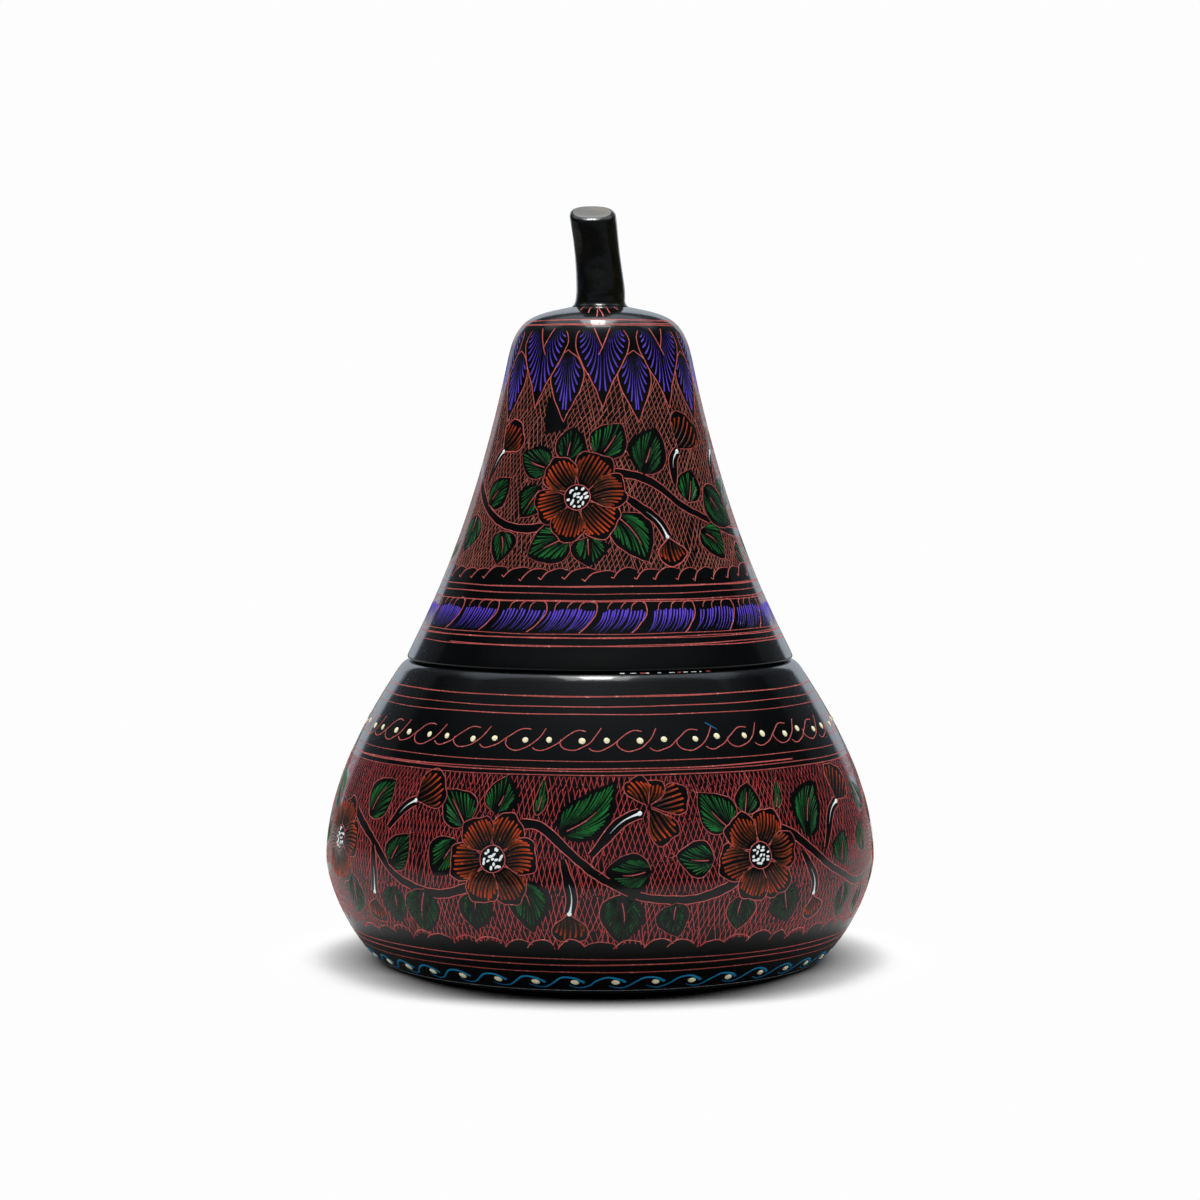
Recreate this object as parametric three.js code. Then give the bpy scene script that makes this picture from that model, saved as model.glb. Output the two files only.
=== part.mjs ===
// A pear-shaped lacquer box, turned from wood: a bowl, a lid that drops over the bowl's spigot,
// and a carved stem glued into the top of the lid. Millimetres, +Z up, origin at the centre of
// the face that the bowl stands on.
import * as THREE from "three";

// Bowl, outside
const FOOT_RADIUS = 54.3;
const FOOT_RISE_DEG = 23; // how steeply the side leaves the foot
const FOOT_REACH = 7.5; // how long it keeps that direction
const BELLY_RADIUS = 68.6;
const BELLY_HEIGHT = 26;
const BELLY_REACH_DOWN = 7.5;
const BELLY_REACH_UP = 17.2;
const LEDGE_HEIGHT = 75; // the face that the lid rests on
const LIP_RADIUS = 48.9; // outer edge of the bowl at the ledge, before rounding
const LIP_SLOPE_DEG = 55; // the shoulder's slope at the lip, above the horizontal
const SHOULDER_REACH = 16;
const LIP_ROUND = 1.2;

// Bowl, underside and inside
const FOOT_ROUND = 0.5;
const DISH_RADIUS = 46; // the underside is turned slightly hollow inside a standing ring
const DISH_DEPTH = 0.9;
const BOWL_WALL = 6;
const FLOOR_THICKNESS = 8;
const FLOOR_COVE = 9;

// Spigot of the bowl and rebate of the lid
const SPIGOT_INSET = 5.2; // from the lip's edge in to the spigot
const SPIGOT_WALL = 4;
const SPIGOT_HEIGHT = 7;
const SPIGOT_CHAMFER = 0.7;
const FIT_CLEARANCE = 0.4; // round the spigot
const SEAT_GAP = 0.3; // between faces that rest on each other

// Lid
const LID_EDGE_INSET = 0.4; // the lid's edge lies this far inside the bowl's lip
const LID_EDGE_ROUND = 1;
const LID_RISE_DEG = 68; // the flank's slope at the edge, above the horizontal
const LID_EDGE_REACH = 8.4;
const NECK_RADIUS = 22.9;
const NECK_HEIGHT = 75; // above the ledge
const NECK_SLOPE_DEG = 78;
const NECK_REACH_DOWN = 49.5;
const NECK_REACH_UP = 10.3;
const CROWN_RISE = 12.6; // from the neck to the flat that the stem stands on
const CROWN_SLOPE_DEG = 11.5;
const CROWN_REACH = 9.3;
const LID_WALL = 6;
const LID_TOP_THICKNESS = 15;
const CAVITY_DOME = 9; // height of the rounded top of the lid's hollow

// Stem
const STEM_WIDTH_FOOT = 12.5;
const STEM_WIDTH_WAIST = 11.7;
const STEM_WIDTH_END = 12.2;
const STEM_LENGTH = 25.8; // from its seat to the back of the cut end
const STEM_LEAN = 2; // how far the end has moved to the left
const STEM_LEAN_POWER = 1.2; // 1 leans straight from the foot, more bends later
const STEM_WAIST_SHARE = 0.58; // height of the narrowest place, as a share of the length
const STEM_FLARE = 1.1; // the foot's spread over the crown
const STEM_FLARE_HEIGHT = 2.2;
const STEM_END_ROUND = 2.4;
const STEM_CUT_DEG = 20; // the end is cut sloping down towards the front
const STEM_SQUARENESS = 2.4; // 2 is an ellipse, more is squarer
const TENON_RADIUS = 3.6;
const TENON_LENGTH = 9;
const TENON_CLEARANCE = 0.3;
const TENON_CHAMFER = 0.6;

// Fineness of the facets
const TURNED_SEGMENTS = 64;
const STEM_SEGMENTS = 28;

// What follows from the sizes above
const spigotRadius = LIP_RADIUS - SPIGOT_INSET;
const mouthRadius = spigotRadius - SPIGOT_WALL;
const spigotTop = LEDGE_HEIGHT + SPIGOT_HEIGHT;
const lidBottom = LEDGE_HEIGHT + SEAT_GAP;
const lidEdgeRadius = LIP_RADIUS - LID_EDGE_INSET;
const rebateRadius = spigotRadius + FIT_CLEARANCE;
const rebateTop = spigotTop + SEAT_GAP;
const neckHeight = LEDGE_HEIGHT + NECK_HEIGHT;
const crownHeight = neckHeight + CROWN_RISE;
const socketRadius = TENON_RADIUS + TENON_CLEARANCE;
const stemBottom = crownHeight + SEAT_GAP;
const stemSeatRadius = STEM_WIDTH_FOOT / 2 + STEM_FLARE + SEAT_GAP;
const socketBottom = stemBottom - TENON_LENGTH - TENON_CLEARANCE;
const lidCavityTop = crownHeight - LID_TOP_THICKNESS;

const radians = THREE.MathUtils.degToRad;
const point = (radius, height) => new THREE.Vector2(radius, height);

// A point at a distance from another, in a direction given by an angle above the horizontal.
function away(from, degrees, distance) {
  const angle = radians(degrees);
  return point(from.x + Math.cos(angle) * distance, from.y + Math.sin(angle) * distance);
}

// Moves an outline inwards by a wall's thickness. The outline runs upwards with the wood on its left.
function offsetInwards(outline, wall) {
  return outline.map((here, i) => {
    const before = outline[Math.max(i - 1, 0)];
    const after = outline[Math.min(i + 1, outline.length - 1)];
    const along = after.clone().sub(before).normalize();
    return point(here.x - along.y * wall, here.y + along.x * wall);
  });
}

// The point of an upward outline at a given height.
function atHeight(outline, height) {
  const i = Math.max(1, outline.findIndex((p) => p.y >= height));
  const [low, high] = [outline[i - 1], outline[i]];
  return low.clone().lerp(high, (height - low.y) / (high.y - low.y));
}

// A quarter-round or cove from one point to another, pulled towards a corner.
function rounded(from, corner, to, steps) {
  return new THREE.QuadraticBezierCurve(from, corner, to).getPoints(steps);
}

// A closed body turned about the Z axis from an outline that starts and ends on the axis.
function turned(outline) {
  const geometry = new THREE.LatheGeometry(outline, TURNED_SEGMENTS);
  return geometry.rotateX(Math.PI / 2);
}

// The bowl's outside, from the foot up to the lip.
function bowlOutside() {
  const foot = point(FOOT_RADIUS, 0);
  const belly = point(BELLY_RADIUS, BELLY_HEIGHT);
  const lip = point(LIP_RADIUS, LEDGE_HEIGHT);
  const lower = new THREE.CubicBezierCurve(
    foot,
    away(foot, FOOT_RISE_DEG, FOOT_REACH),
    point(BELLY_RADIUS, BELLY_HEIGHT - BELLY_REACH_DOWN),
    belly,
  );
  const upper = new THREE.CubicBezierCurve(
    belly,
    point(BELLY_RADIUS, BELLY_HEIGHT + BELLY_REACH_UP),
    away(lip, -LIP_SLOPE_DEG, SHOULDER_REACH),
    lip,
  );
  return [...lower.getPoints(8), ...upper.getPoints(11).slice(1)];
}

// The bowl's hollow, from the mouth down to the centre of the floor.
function bowlInside(outside) {
  const wall = offsetInwards(outside, BOWL_WALL);
  const coveTop = FLOOR_THICKNESS + FLOOR_COVE;
  const coveStart = atHeight(wall, coveTop);
  const sideTop = LEDGE_HEIGHT - SPIGOT_INSET;
  const side = wall.filter((p) => p.y > coveTop + 1 && p.y < sideTop && p.x > mouthRadius);
  const shoulder = side[side.length - 1];
  const mouth = point(mouthRadius, LEDGE_HEIGHT);
  const neck = rounded(shoulder, point(mouthRadius, (shoulder.y + LEDGE_HEIGHT) / 2), mouth, 3);
  const floorEdge = point(coveStart.x - FLOOR_COVE, FLOOR_THICKNESS);
  const cove = rounded(coveStart, point(coveStart.x, FLOOR_THICKNESS), floorEdge, 4);
  return [
    ...neck.slice(1).reverse(),
    ...side.reverse(),
    ...cove,
    point(0, FLOOR_THICKNESS),
  ];
}

function bowlGeometry() {
  const outside = bowlOutside();
  const footStart = atHeight(outside, FOOT_ROUND);
  const footCorner = point(FOOT_RADIUS, 0);
  const lipStart = atHeight(outside, LEDGE_HEIGHT - LIP_ROUND);
  const lipCorner = point(LIP_RADIUS, LEDGE_HEIGHT);
  const side = outside.filter((p) => p.y > FOOT_ROUND && p.y < LEDGE_HEIGHT - LIP_ROUND);
  return turned([
    point(0, DISH_DEPTH),
    point(DISH_RADIUS - 2 * DISH_DEPTH, DISH_DEPTH),
    point(DISH_RADIUS, 0),
    ...rounded(point(FOOT_RADIUS - FOOT_ROUND, 0), footCorner, footStart, 2),
    ...side,
    ...rounded(lipStart, lipCorner, point(LIP_RADIUS - LIP_ROUND, LEDGE_HEIGHT), 3),
    point(spigotRadius, LEDGE_HEIGHT),
    point(spigotRadius, spigotTop - SPIGOT_CHAMFER),
    point(spigotRadius - SPIGOT_CHAMFER, spigotTop),
    point(mouthRadius + SPIGOT_CHAMFER, spigotTop),
    point(mouthRadius, spigotTop - SPIGOT_CHAMFER),
    ...bowlInside(outside),
  ]);
}

// The lid's flank, from its edge up to the neck.
function lidFlank() {
  const edge = point(lidEdgeRadius, lidBottom);
  const neck = point(NECK_RADIUS, neckHeight);
  const flank = new THREE.CubicBezierCurve(
    edge,
    away(edge, 180 - LID_RISE_DEG, LID_EDGE_REACH),
    away(neck, -NECK_SLOPE_DEG, NECK_REACH_DOWN),
    neck,
  );
  return flank.getPoints(13);
}

// The crown, from the neck to the flat seat of the stem.
function lidCrown() {
  const neck = point(NECK_RADIUS, neckHeight);
  const seat = point(stemSeatRadius, crownHeight);
  const crown = new THREE.CubicBezierCurve(
    neck,
    away(neck, 180 - NECK_SLOPE_DEG, NECK_REACH_UP),
    away(seat, -CROWN_SLOPE_DEG, CROWN_REACH),
    seat,
  );
  return crown.getPoints(9);
}

// The lid's hollow, from the centre of its top down to the rebate.
function lidInside(flank) {
  const wall = offsetInwards(flank, LID_WALL);
  const domeStart = atHeight(wall, lidCavityTop - CAVITY_DOME);
  const side = wall.filter((p) => p.y > rebateTop + 1 && p.y < domeStart.y - 1);
  const dome = rounded(point(0, lidCavityTop), point(domeStart.x, lidCavityTop), domeStart, 4);
  return [...dome, ...side.reverse(), point(atHeight(wall, rebateTop).x, rebateTop)];
}

function lidGeometry() {
  const flank = lidFlank();
  const edgeCorner = point(lidEdgeRadius, lidBottom);
  const edgeEnd = atHeight(flank, lidBottom + LID_EDGE_ROUND);
  const side = flank.filter((p) => p.y > lidBottom + LID_EDGE_ROUND);
  return turned([
    ...lidInside(flank),
    point(rebateRadius, rebateTop),
    point(rebateRadius, lidBottom),
    ...rounded(point(lidEdgeRadius - LID_EDGE_ROUND, lidBottom), edgeCorner, edgeEnd, 3),
    ...side,
    ...lidCrown().slice(1),
    point(socketRadius, crownHeight),
    point(socketRadius, socketBottom),
    point(0, socketBottom),
  ]);
}

// A closed body through rings of points that all have the same count, with flat ends.
function lofted(rings) {
  const count = rings[0].length;
  const positions = rings.flat().flatMap((p) => [p.x, p.y, p.z]);
  const faces = [];
  for (let r = 0; r + 1 < rings.length; r++) {
    for (let i = 0; i < count; i++) {
      const next = (i + 1) % count;
      const [a, b] = [r * count + i, r * count + next];
      faces.push(a, b, b + count, a, b + count, a + count);
    }
  }
  const top = (rings.length - 1) * count;
  for (let i = 1; i + 1 < count; i++) {
    faces.push(0, i + 1, i);
    faces.push(top, top + i, top + i + 1);
  }
  const geometry = new THREE.BufferGeometry();
  geometry.setAttribute("position", new THREE.Float32BufferAttribute(positions, 3));
  geometry.setIndex(faces);
  geometry.computeVertexNormals();
  return geometry;
}

// One level ring of the stem. The slant lifts its back and lowers its front.
function stemRing({ height, radius, lean = 0, squareness = 2, slant = 0 }) {
  const ring = [];
  for (let i = 0; i < STEM_SEGMENTS; i++) {
    const angle = (i / STEM_SEGMENTS) * 2 * Math.PI;
    const [c, s] = [Math.cos(angle), Math.sin(angle)];
    const x = Math.sign(c) * Math.abs(c) ** (2 / squareness) * radius;
    const y = Math.sign(s) * Math.abs(s) ** (2 / squareness) * radius;
    ring.push(new THREE.Vector3(x + lean, y, height + slant * y));
  }
  return ring;
}

// The stem's half width along its length, as a curve through its foot, waist and end.
function stemHalfWidth(share) {
  const [foot, waist, end] = [STEM_WIDTH_FOOT / 2, STEM_WIDTH_WAIST / 2, STEM_WIDTH_END / 2];
  const wide = share < STEM_WAIST_SHARE ? foot : end;
  const span = share < STEM_WAIST_SHARE ? STEM_WAIST_SHARE : 1 - STEM_WAIST_SHARE;
  const distance = Math.abs(share - STEM_WAIST_SHARE) / span;
  return waist + (wide - waist) * THREE.MathUtils.smoothstep(distance, 0, 1);
}

function stemGeometry() {
  const slope = Math.tan(radians(STEM_CUT_DEG));
  const endHeight = stemBottom + STEM_LENGTH - (slope * STEM_WIDTH_END) / 2;
  const shaftLength = endHeight - stemBottom;
  const tenonBottom = stemBottom - TENON_LENGTH;
  const rings = [
    stemRing({ height: tenonBottom, radius: TENON_RADIUS - TENON_CHAMFER }),
    stemRing({ height: tenonBottom + TENON_CHAMFER, radius: TENON_RADIUS }),
    stemRing({ height: stemBottom, radius: TENON_RADIUS }),
  ];
  const flareSteps = 5;
  for (let i = 0; i < flareSteps; i++) {
    const share = i / flareSteps;
    rings.push(
      stemRing({
        height: stemBottom + STEM_FLARE_HEIGHT * share,
        radius: STEM_WIDTH_FOOT / 2 + STEM_FLARE * (1 - share) ** 2,
      }),
    );
  }
  const shaftSteps = 11;
  const shaftTop = shaftLength - STEM_END_ROUND;
  for (let i = 0; i <= shaftSteps; i++) {
    const rise = STEM_FLARE_HEIGHT + ((shaftTop - STEM_FLARE_HEIGHT) * i) / shaftSteps;
    const share = rise / shaftLength;
    rings.push(
      stemRing({
        height: stemBottom + rise,
        radius: stemHalfWidth(share),
        lean: -STEM_LEAN * share ** STEM_LEAN_POWER,
        squareness: 2 + (STEM_SQUARENESS - 2) * Math.min(1, share * 3),
        slant: slope * THREE.MathUtils.smoothstep(share, 0.45, 0.9),
      }),
    );
  }
  const roundSteps = 4;
  for (let i = 1; i <= roundSteps; i++) {
    const angle = (i / roundSteps) * (Math.PI / 2);
    const rise = shaftTop + STEM_END_ROUND * Math.sin(angle);
    rings.push(
      stemRing({
        height: stemBottom + rise,
        radius: STEM_WIDTH_END / 2 - STEM_END_ROUND * (1 - Math.cos(angle)),
        lean: -STEM_LEAN * (rise / shaftLength) ** STEM_LEAN_POWER,
        squareness: STEM_SQUARENESS,
        slant: slope,
      }),
    );
  }
  return lofted(rings);
}

// Black lac over turned wood, polished; the stem's coat is browner
const blackLacquer = new THREE.MeshStandardMaterial({ color: 0x0a0b0d, roughness: 0.12, metalness: 0 });
const stemLacquer = new THREE.MeshStandardMaterial({ color: 0x0c0b08, roughness: 0.15, metalness: 0 });

function piece(name, geometry, material) {
  const mesh = new THREE.Mesh(geometry, material);
  mesh.name = name;
  return mesh;
}

const bowl = piece("bowl", bowlGeometry(), blackLacquer);
const lid = piece("lid", lidGeometry(), blackLacquer);
const stem = piece("stem", stemGeometry(), stemLacquer);

const lidAssembly = new THREE.Group();
lidAssembly.add(lid, stem);

const pearBox = new THREE.Group();
pearBox.add(bowl, lidAssembly);

export default pearBox;
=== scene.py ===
# Pear-shaped lacquer box: turned bowl and lid in black lac, a carved stem, and etched flowers
# whose cut lines are filled with coloured lac. Sizes are in millimetres and become metres
# where a mesh is made. Azimuth 0 faces the camera (-Y) and grows towards +X, in degrees.
import math

import bpy
import numpy as np
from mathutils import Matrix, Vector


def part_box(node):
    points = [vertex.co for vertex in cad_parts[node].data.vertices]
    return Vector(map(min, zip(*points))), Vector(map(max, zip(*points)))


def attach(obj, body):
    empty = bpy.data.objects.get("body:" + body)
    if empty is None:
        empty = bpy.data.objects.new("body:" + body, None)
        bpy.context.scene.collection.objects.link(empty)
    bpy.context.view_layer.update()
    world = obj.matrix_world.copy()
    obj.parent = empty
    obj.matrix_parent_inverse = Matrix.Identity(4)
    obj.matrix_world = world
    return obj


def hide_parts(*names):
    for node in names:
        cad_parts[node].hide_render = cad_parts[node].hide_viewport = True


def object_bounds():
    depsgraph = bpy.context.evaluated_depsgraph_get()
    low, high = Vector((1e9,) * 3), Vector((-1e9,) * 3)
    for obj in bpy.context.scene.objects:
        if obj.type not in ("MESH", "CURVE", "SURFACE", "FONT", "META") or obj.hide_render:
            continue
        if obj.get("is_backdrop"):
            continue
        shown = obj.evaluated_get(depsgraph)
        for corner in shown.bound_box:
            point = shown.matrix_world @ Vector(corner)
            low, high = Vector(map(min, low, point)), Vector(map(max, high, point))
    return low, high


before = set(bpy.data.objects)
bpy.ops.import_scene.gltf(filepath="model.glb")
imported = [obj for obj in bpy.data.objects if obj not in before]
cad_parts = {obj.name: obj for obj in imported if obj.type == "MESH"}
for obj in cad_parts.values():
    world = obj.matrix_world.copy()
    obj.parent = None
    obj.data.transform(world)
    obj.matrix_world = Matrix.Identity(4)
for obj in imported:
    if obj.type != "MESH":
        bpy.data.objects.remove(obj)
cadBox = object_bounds()
mm = 0.001
dice = np.random.default_rng(1207)  # one seed for every hand-made irregularity
vary = dice.uniform


def say(text):
    print("pear box:", text)


# Camera

view = {
    "distance": 794.4,  # from the turning axis, towards -Y
    "height": 134.15,
    "lookDown": 3.214,
    "lens": 95.33,
    "sensor": 36.0,
}


def makeCamera():
    lens = bpy.data.cameras.new("camera")
    lens.lens = view["lens"]
    lens.sensor_width = view["sensor"]
    lens.clip_start = 0.01
    lens.clip_end = 60
    camera = bpy.data.objects.new("camera", lens)
    camera.location = (0, -view["distance"] * mm, view["height"] * mm)
    camera.rotation_euler = (math.radians(90 - view["lookDown"]), 0, 0)
    bpy.context.scene.collection.objects.link(camera)
    bpy.context.scene.camera = camera


makeCamera()
bpy.context.scene.view_settings.view_transform = "Standard"
say("camera set")


# Node tree tools


def put(tree, kind, sockets=None, **settings):
    made = tree.nodes.new(kind)
    for key, value in settings.items():
        setattr(made, key, value)
    for key, value in (sockets or {}).items():
        if isinstance(value, bpy.types.NodeSocket):
            tree.links.new(value, made.inputs[key])
        else:
            made.inputs[key].default_value = value
    return made


def grown(tree, kind, sockets=None, **settings):
    return put(tree, "GeometryNode" + kind, sockets, **settings).outputs[0]


def calc(tree, operation, *values, clamp=False):
    made = put(tree, "ShaderNodeMath", dict(enumerate(values)), operation=operation, use_clamp=clamp)
    return made.outputs[0]


def geometryTree(name, inputs):
    tree = bpy.data.node_groups.new(name, "GeometryNodeTree")
    panel = tree.interface
    for side in ("INPUT", "OUTPUT"):
        panel.new_socket(name="Geometry", in_out=side, socket_type="NodeSocketGeometry")
    for label, (kind, value) in inputs.items():
        socket = panel.new_socket(name=label, in_out="INPUT", socket_type="NodeSocket" + kind)
        if value is not None:
            socket.default_value = value
    return tree, put(tree, "NodeGroupInput").outputs


def attributeOf(tree, name, kind="FLOAT"):
    return put(tree, "GeometryNodeInputNamedAttribute", {"Name": name}, data_type=kind).outputs["Attribute"]


def creased(tree, shape, angle):
    # smooth faces, with the edges sharper than the angle (in radians) left hard
    bend = put(tree, "GeometryNodeInputMeshEdgeAngle").outputs["Unsigned Angle"]
    smooth = grown(tree, "SetShadeSmooth", {"Geometry": shape, "Shade Smooth": True}, domain="FACE")
    sharp = calc(tree, "GREATER_THAN", bend, angle)
    edges = {"Geometry": smooth, "Selection": sharp, "Shade Smooth": False}
    return grown(tree, "SetShadeSmooth", edges, domain="EDGE")


def coated(tree, shape, material, only=None):
    sockets = {"Geometry": shape, "Material": material}
    if only is not None:
        sockets["Selection"] = only
    return grown(tree, "SetMaterial", sockets)


def meshOf(name, points, edges=(), faces=(), **attributes):
    mesh = bpy.data.meshes.new(name)
    mesh.from_pydata([tuple(p) for p in points], [tuple(e) for e in edges], [tuple(f) for f in faces])
    for label, values in attributes.items():
        values = np.asarray(values, np.float32)
        kind, field = ("FLOAT_VECTOR", "vector") if values.ndim == 2 else ("FLOAT", "value")
        mesh.attributes.new(label, kind, "POINT").data.foreach_set(field, values.ravel())
    return mesh


def link(name, mesh):
    piece = bpy.data.objects.new(name, mesh)
    bpy.context.scene.collection.objects.link(piece)
    return piece


def grow(name, seedMesh, tree, values):
    # runs a tree on a seed mesh and keeps the result as a plain mesh
    seed = link(name + "Seed", seedMesh)
    growth = seed.modifiers.new("growth", "NODES")
    growth.node_group = tree
    for item in tree.interface.items_tree:
        if item.in_out == "INPUT" and item.name in values:
            growth[item.identifier] = values[item.name]
    bpy.context.view_layer.update()
    mesh = bpy.data.meshes.new_from_object(seed.evaluated_get(bpy.context.evaluated_depsgraph_get()))
    bpy.data.objects.remove(seed)
    mesh.name = name
    say(f"{name}: {sum(len(face.vertices) - 2 for face in mesh.polygons)} triangles")
    return link(name, mesh)


# Materials


def paint(red, green, blue):
    # an sRGB colour of 0 to 255 as linear light
    parts = [c / 255 for c in (red, green, blue)]
    return tuple(c / 12.92 if c <= 0.04045 else ((c + 0.055) / 1.055) ** 2.4 for c in parts) + (1.0,)


def emptied(owner):
    owner.use_nodes = True
    owner.node_tree.nodes.clear()
    return owner.node_tree


def newMaterial(name):
    material = bpy.data.materials.new(name)
    return material, emptied(material)


def surfaced(tree, colour, roughness, normal, ior, coat, coatRoughness, specular=0.5):
    # a lac's shader, with its constants on the shader's own sockets
    sockets = {"Base Color": colour, "Roughness": roughness, "Normal": normal, "IOR": ior}
    sockets.update({"Coat Weight": coat, "Coat Roughness": coatRoughness, "Specular IOR Level": specular})
    shader = put(tree, "ShaderNodeBsdfPrincipled", sockets)
    put(tree, "ShaderNodeOutputMaterial", {"Surface": shader.outputs[0]})


def objectPlace(tree, stretch=(1, 1, 1)):
    where = put(tree, "ShaderNodeTexCoord").outputs["Object"]
    return put(tree, "ShaderNodeMapping", {"Vector": where, "Scale": stretch}).outputs[0]


def noise(tree, where, scale, detail=3.0):
    sockets = {"Vector": where, "Scale": scale, "Detail": detail}
    return put(tree, "ShaderNodeTexNoise", sockets).outputs["Fac"]


def ranged(tree, value, low, high, fromLow=0.3, fromHigh=0.7):
    sockets = {"Value": value, "From Min": fromLow, "From Max": fromHigh, "To Min": low, "To Max": high}
    return put(tree, "ShaderNodeMapRange", sockets).outputs[0]


def blend(tree, share, first, second):
    return put(tree, "ShaderNodeMix", {0: share, 6: first, 7: second}, data_type="RGBA").outputs[2]


def bumped(tree, height, depth, under=None):
    sockets = {"Height": height, "Strength": 1.0, "Distance": depth * mm}
    if under is not None:
        sockets["Normal"] = under
    return put(tree, "ShaderNodeBump", sockets).outputs[0]


lacSurface = {
    # stretch along the axis, noise scale, detail, and depth as a share of the coat's ripple
    "lathe": (22, 60, 2, 0.4),
    "brush": (0.3, 60, 2, 20),
    "peel": (1, 480, 4, 1),
    "waves": (1, 38, 1, 5),
    "smears": 55,
    "smudges": 180,
    "nibs": 800,
    "nibSize": 0.14,
    "nibDepth": 0.03,
    "grain": 950,
    "grainDepth": 0.14,
}


def blackLac(name, dark, warm, gloss, ripple, peel=2.6, grainy=None):
    # polished black lac: a faintly wavy hand-laid coat, lathe marks, dust nibs and thin smears
    material, tree = newMaterial(name)
    s, where, normal = lacSurface, objectPlace(tree), None
    for layer, strength in (("lathe", 1), ("brush", 1), ("peel", peel), ("waves", 1)):
        stretch, scale, detail, share = s[layer]
        pattern = noise(tree, objectPlace(tree, (1, 1, stretch)), scale, detail)
        normal = bumped(tree, pattern, ripple * share * strength, normal)
    nibs = put(tree, "ShaderNodeTexVoronoi", {"Vector": where, "Scale": s["nibs"]}).outputs["Distance"]
    normal = bumped(tree, ranged(tree, nibs, 1, 0, 0, s["nibSize"]), s["nibDepth"], normal)
    if grainy:  # heights between which the coat is worn and mottled
        height = put(tree, "ShaderNodeSeparateXYZ", {0: where}).outputs["Z"]
        worn = ranged(tree, height, 0, 1, grainy[0] * mm, grainy[1] * mm)
        worn = calc(tree, "MULTIPLY", worn, noise(tree, where, s["grain"]))
        normal = bumped(tree, worn, s["grainDepth"], normal)
    smears = ranged(tree, noise(tree, where, s["smears"]), 0, 1, 0.45, 0.75)
    colour = blend(tree, smears, paint(*dark), paint(*warm))
    rough = ranged(tree, noise(tree, where, s["smudges"], 5), gloss, gloss + 0.06)
    surfaced(tree, colour, rough, normal, ior=1.5, coat=0.3, coatRoughness=0.3, specular=0.4)
    return material


def redLac(name):
    # the hollow's red coat, satin, with turning rings and darker streaks in them
    material, tree = newMaterial(name)
    rings = noise(tree, objectPlace(tree, (0.6, 0.6, 30)), 55, 4)
    colour = blend(tree, ranged(tree, rings, 0, 1), paint(78, 12, 8), paint(138, 26, 14))
    rough = ranged(tree, noise(tree, objectPlace(tree), 90), 0.28, 0.42)
    surfaced(tree, colour, rough, bumped(tree, rings, 0.03), ior=1.5, coat=0.15, coatRoughness=0.15)
    return material


def etched(name, bright, deep, glint, gloss=0.32):
    # coloured lac rubbed into cut lines: full where the cut is deep, thin and dark where the tool
    # lifts (the tone attribute), with pale spots of painted glint where light would catch its edges
    material, tree = newMaterial(name)
    where = objectPlace(tree)
    tone = put(tree, "ShaderNodeAttribute", attribute_name="tone").outputs["Fac"]
    patchy = calc(tree, "MULTIPLY_ADD", noise(tree, where, 700, 4), 0.7, -0.35)
    colour = blend(tree, calc(tree, "ADD", tone, patchy, clamp=True), paint(*deep), paint(*bright))
    # painted highlight: pale spots that stand in for light catching the cut edges
    paintedGlints = ranged(tree, noise(tree, where, 1500, 2), 0, 0.6, 0.6, 0.78)
    colour = blend(tree, paintedGlints, colour, paint(*glint))
    rough = ranged(tree, noise(tree, where, 900), gloss, gloss + 0.25)
    torn = bumped(tree, noise(tree, where, 2600), 0.03)
    surfaced(tree, colour, rough, torn, ior=1.45, coat=0.1, coatRoughness=0.1, specular=0.3)
    return material


bodyCoats = {
    "bowl": blackLac("bowlBlackLac", (4, 6, 8), (10, 9, 9), 0.05, 0.009, grainy=(76.2, 78.2)),
    "lid": blackLac("lidBlackLac", (4, 6, 8), (10, 10, 9), 0.05, 0.009),
    "stem": blackLac("stemBlackLac", (9, 10, 9), (34, 29, 8), 0.05, 0.014, peel=9),
    "stemCut": blackLac("stemCutLac", (96, 94, 88), (140, 128, 108), 0.3, 0.014, peel=4),
    "inside": redLac("insideRedLac"),
}
# each lac's full colour, its colour where the cut is thin, and that of its painted glints
lacs = {
    "hatch": etched("hatchRed", (184, 66, 68), (88, 26, 28), (224, 122, 124)),
    "lidHatch": etched("hatchBrown", (176, 98, 84), (86, 40, 32), (216, 156, 140)),
    "line": etched("lineRed", (196, 92, 88), (104, 38, 34), (248, 196, 186)),
    "purple": etched("purpleLac", (94, 68, 206), (22, 17, 62), (118, 96, 226)),
    "green": etched("greenLac", (24, 118, 50), (2, 18, 14), (52, 142, 66)),
    "orange": etched("orangeLac", (192, 64, 8), (48, 26, 6), (212, 92, 24)),
    "blue": etched("blueLac", (0, 126, 176), (0, 78, 120), (44, 160, 206)),
    "cream": etched("creamPaint", (240, 234, 196), (196, 184, 140), (250, 248, 226)),
    "white": etched("whitePaint", (236, 242, 244), (120, 138, 146), (255, 255, 255)),
}
say("materials made")


# Outlines of the turned wood, as radius and height, a hair inside the solids

lidLow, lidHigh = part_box("lid")
bowlHigh, stemHigh = (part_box(node)[1] for node in ("bowl", "stem"))

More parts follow.
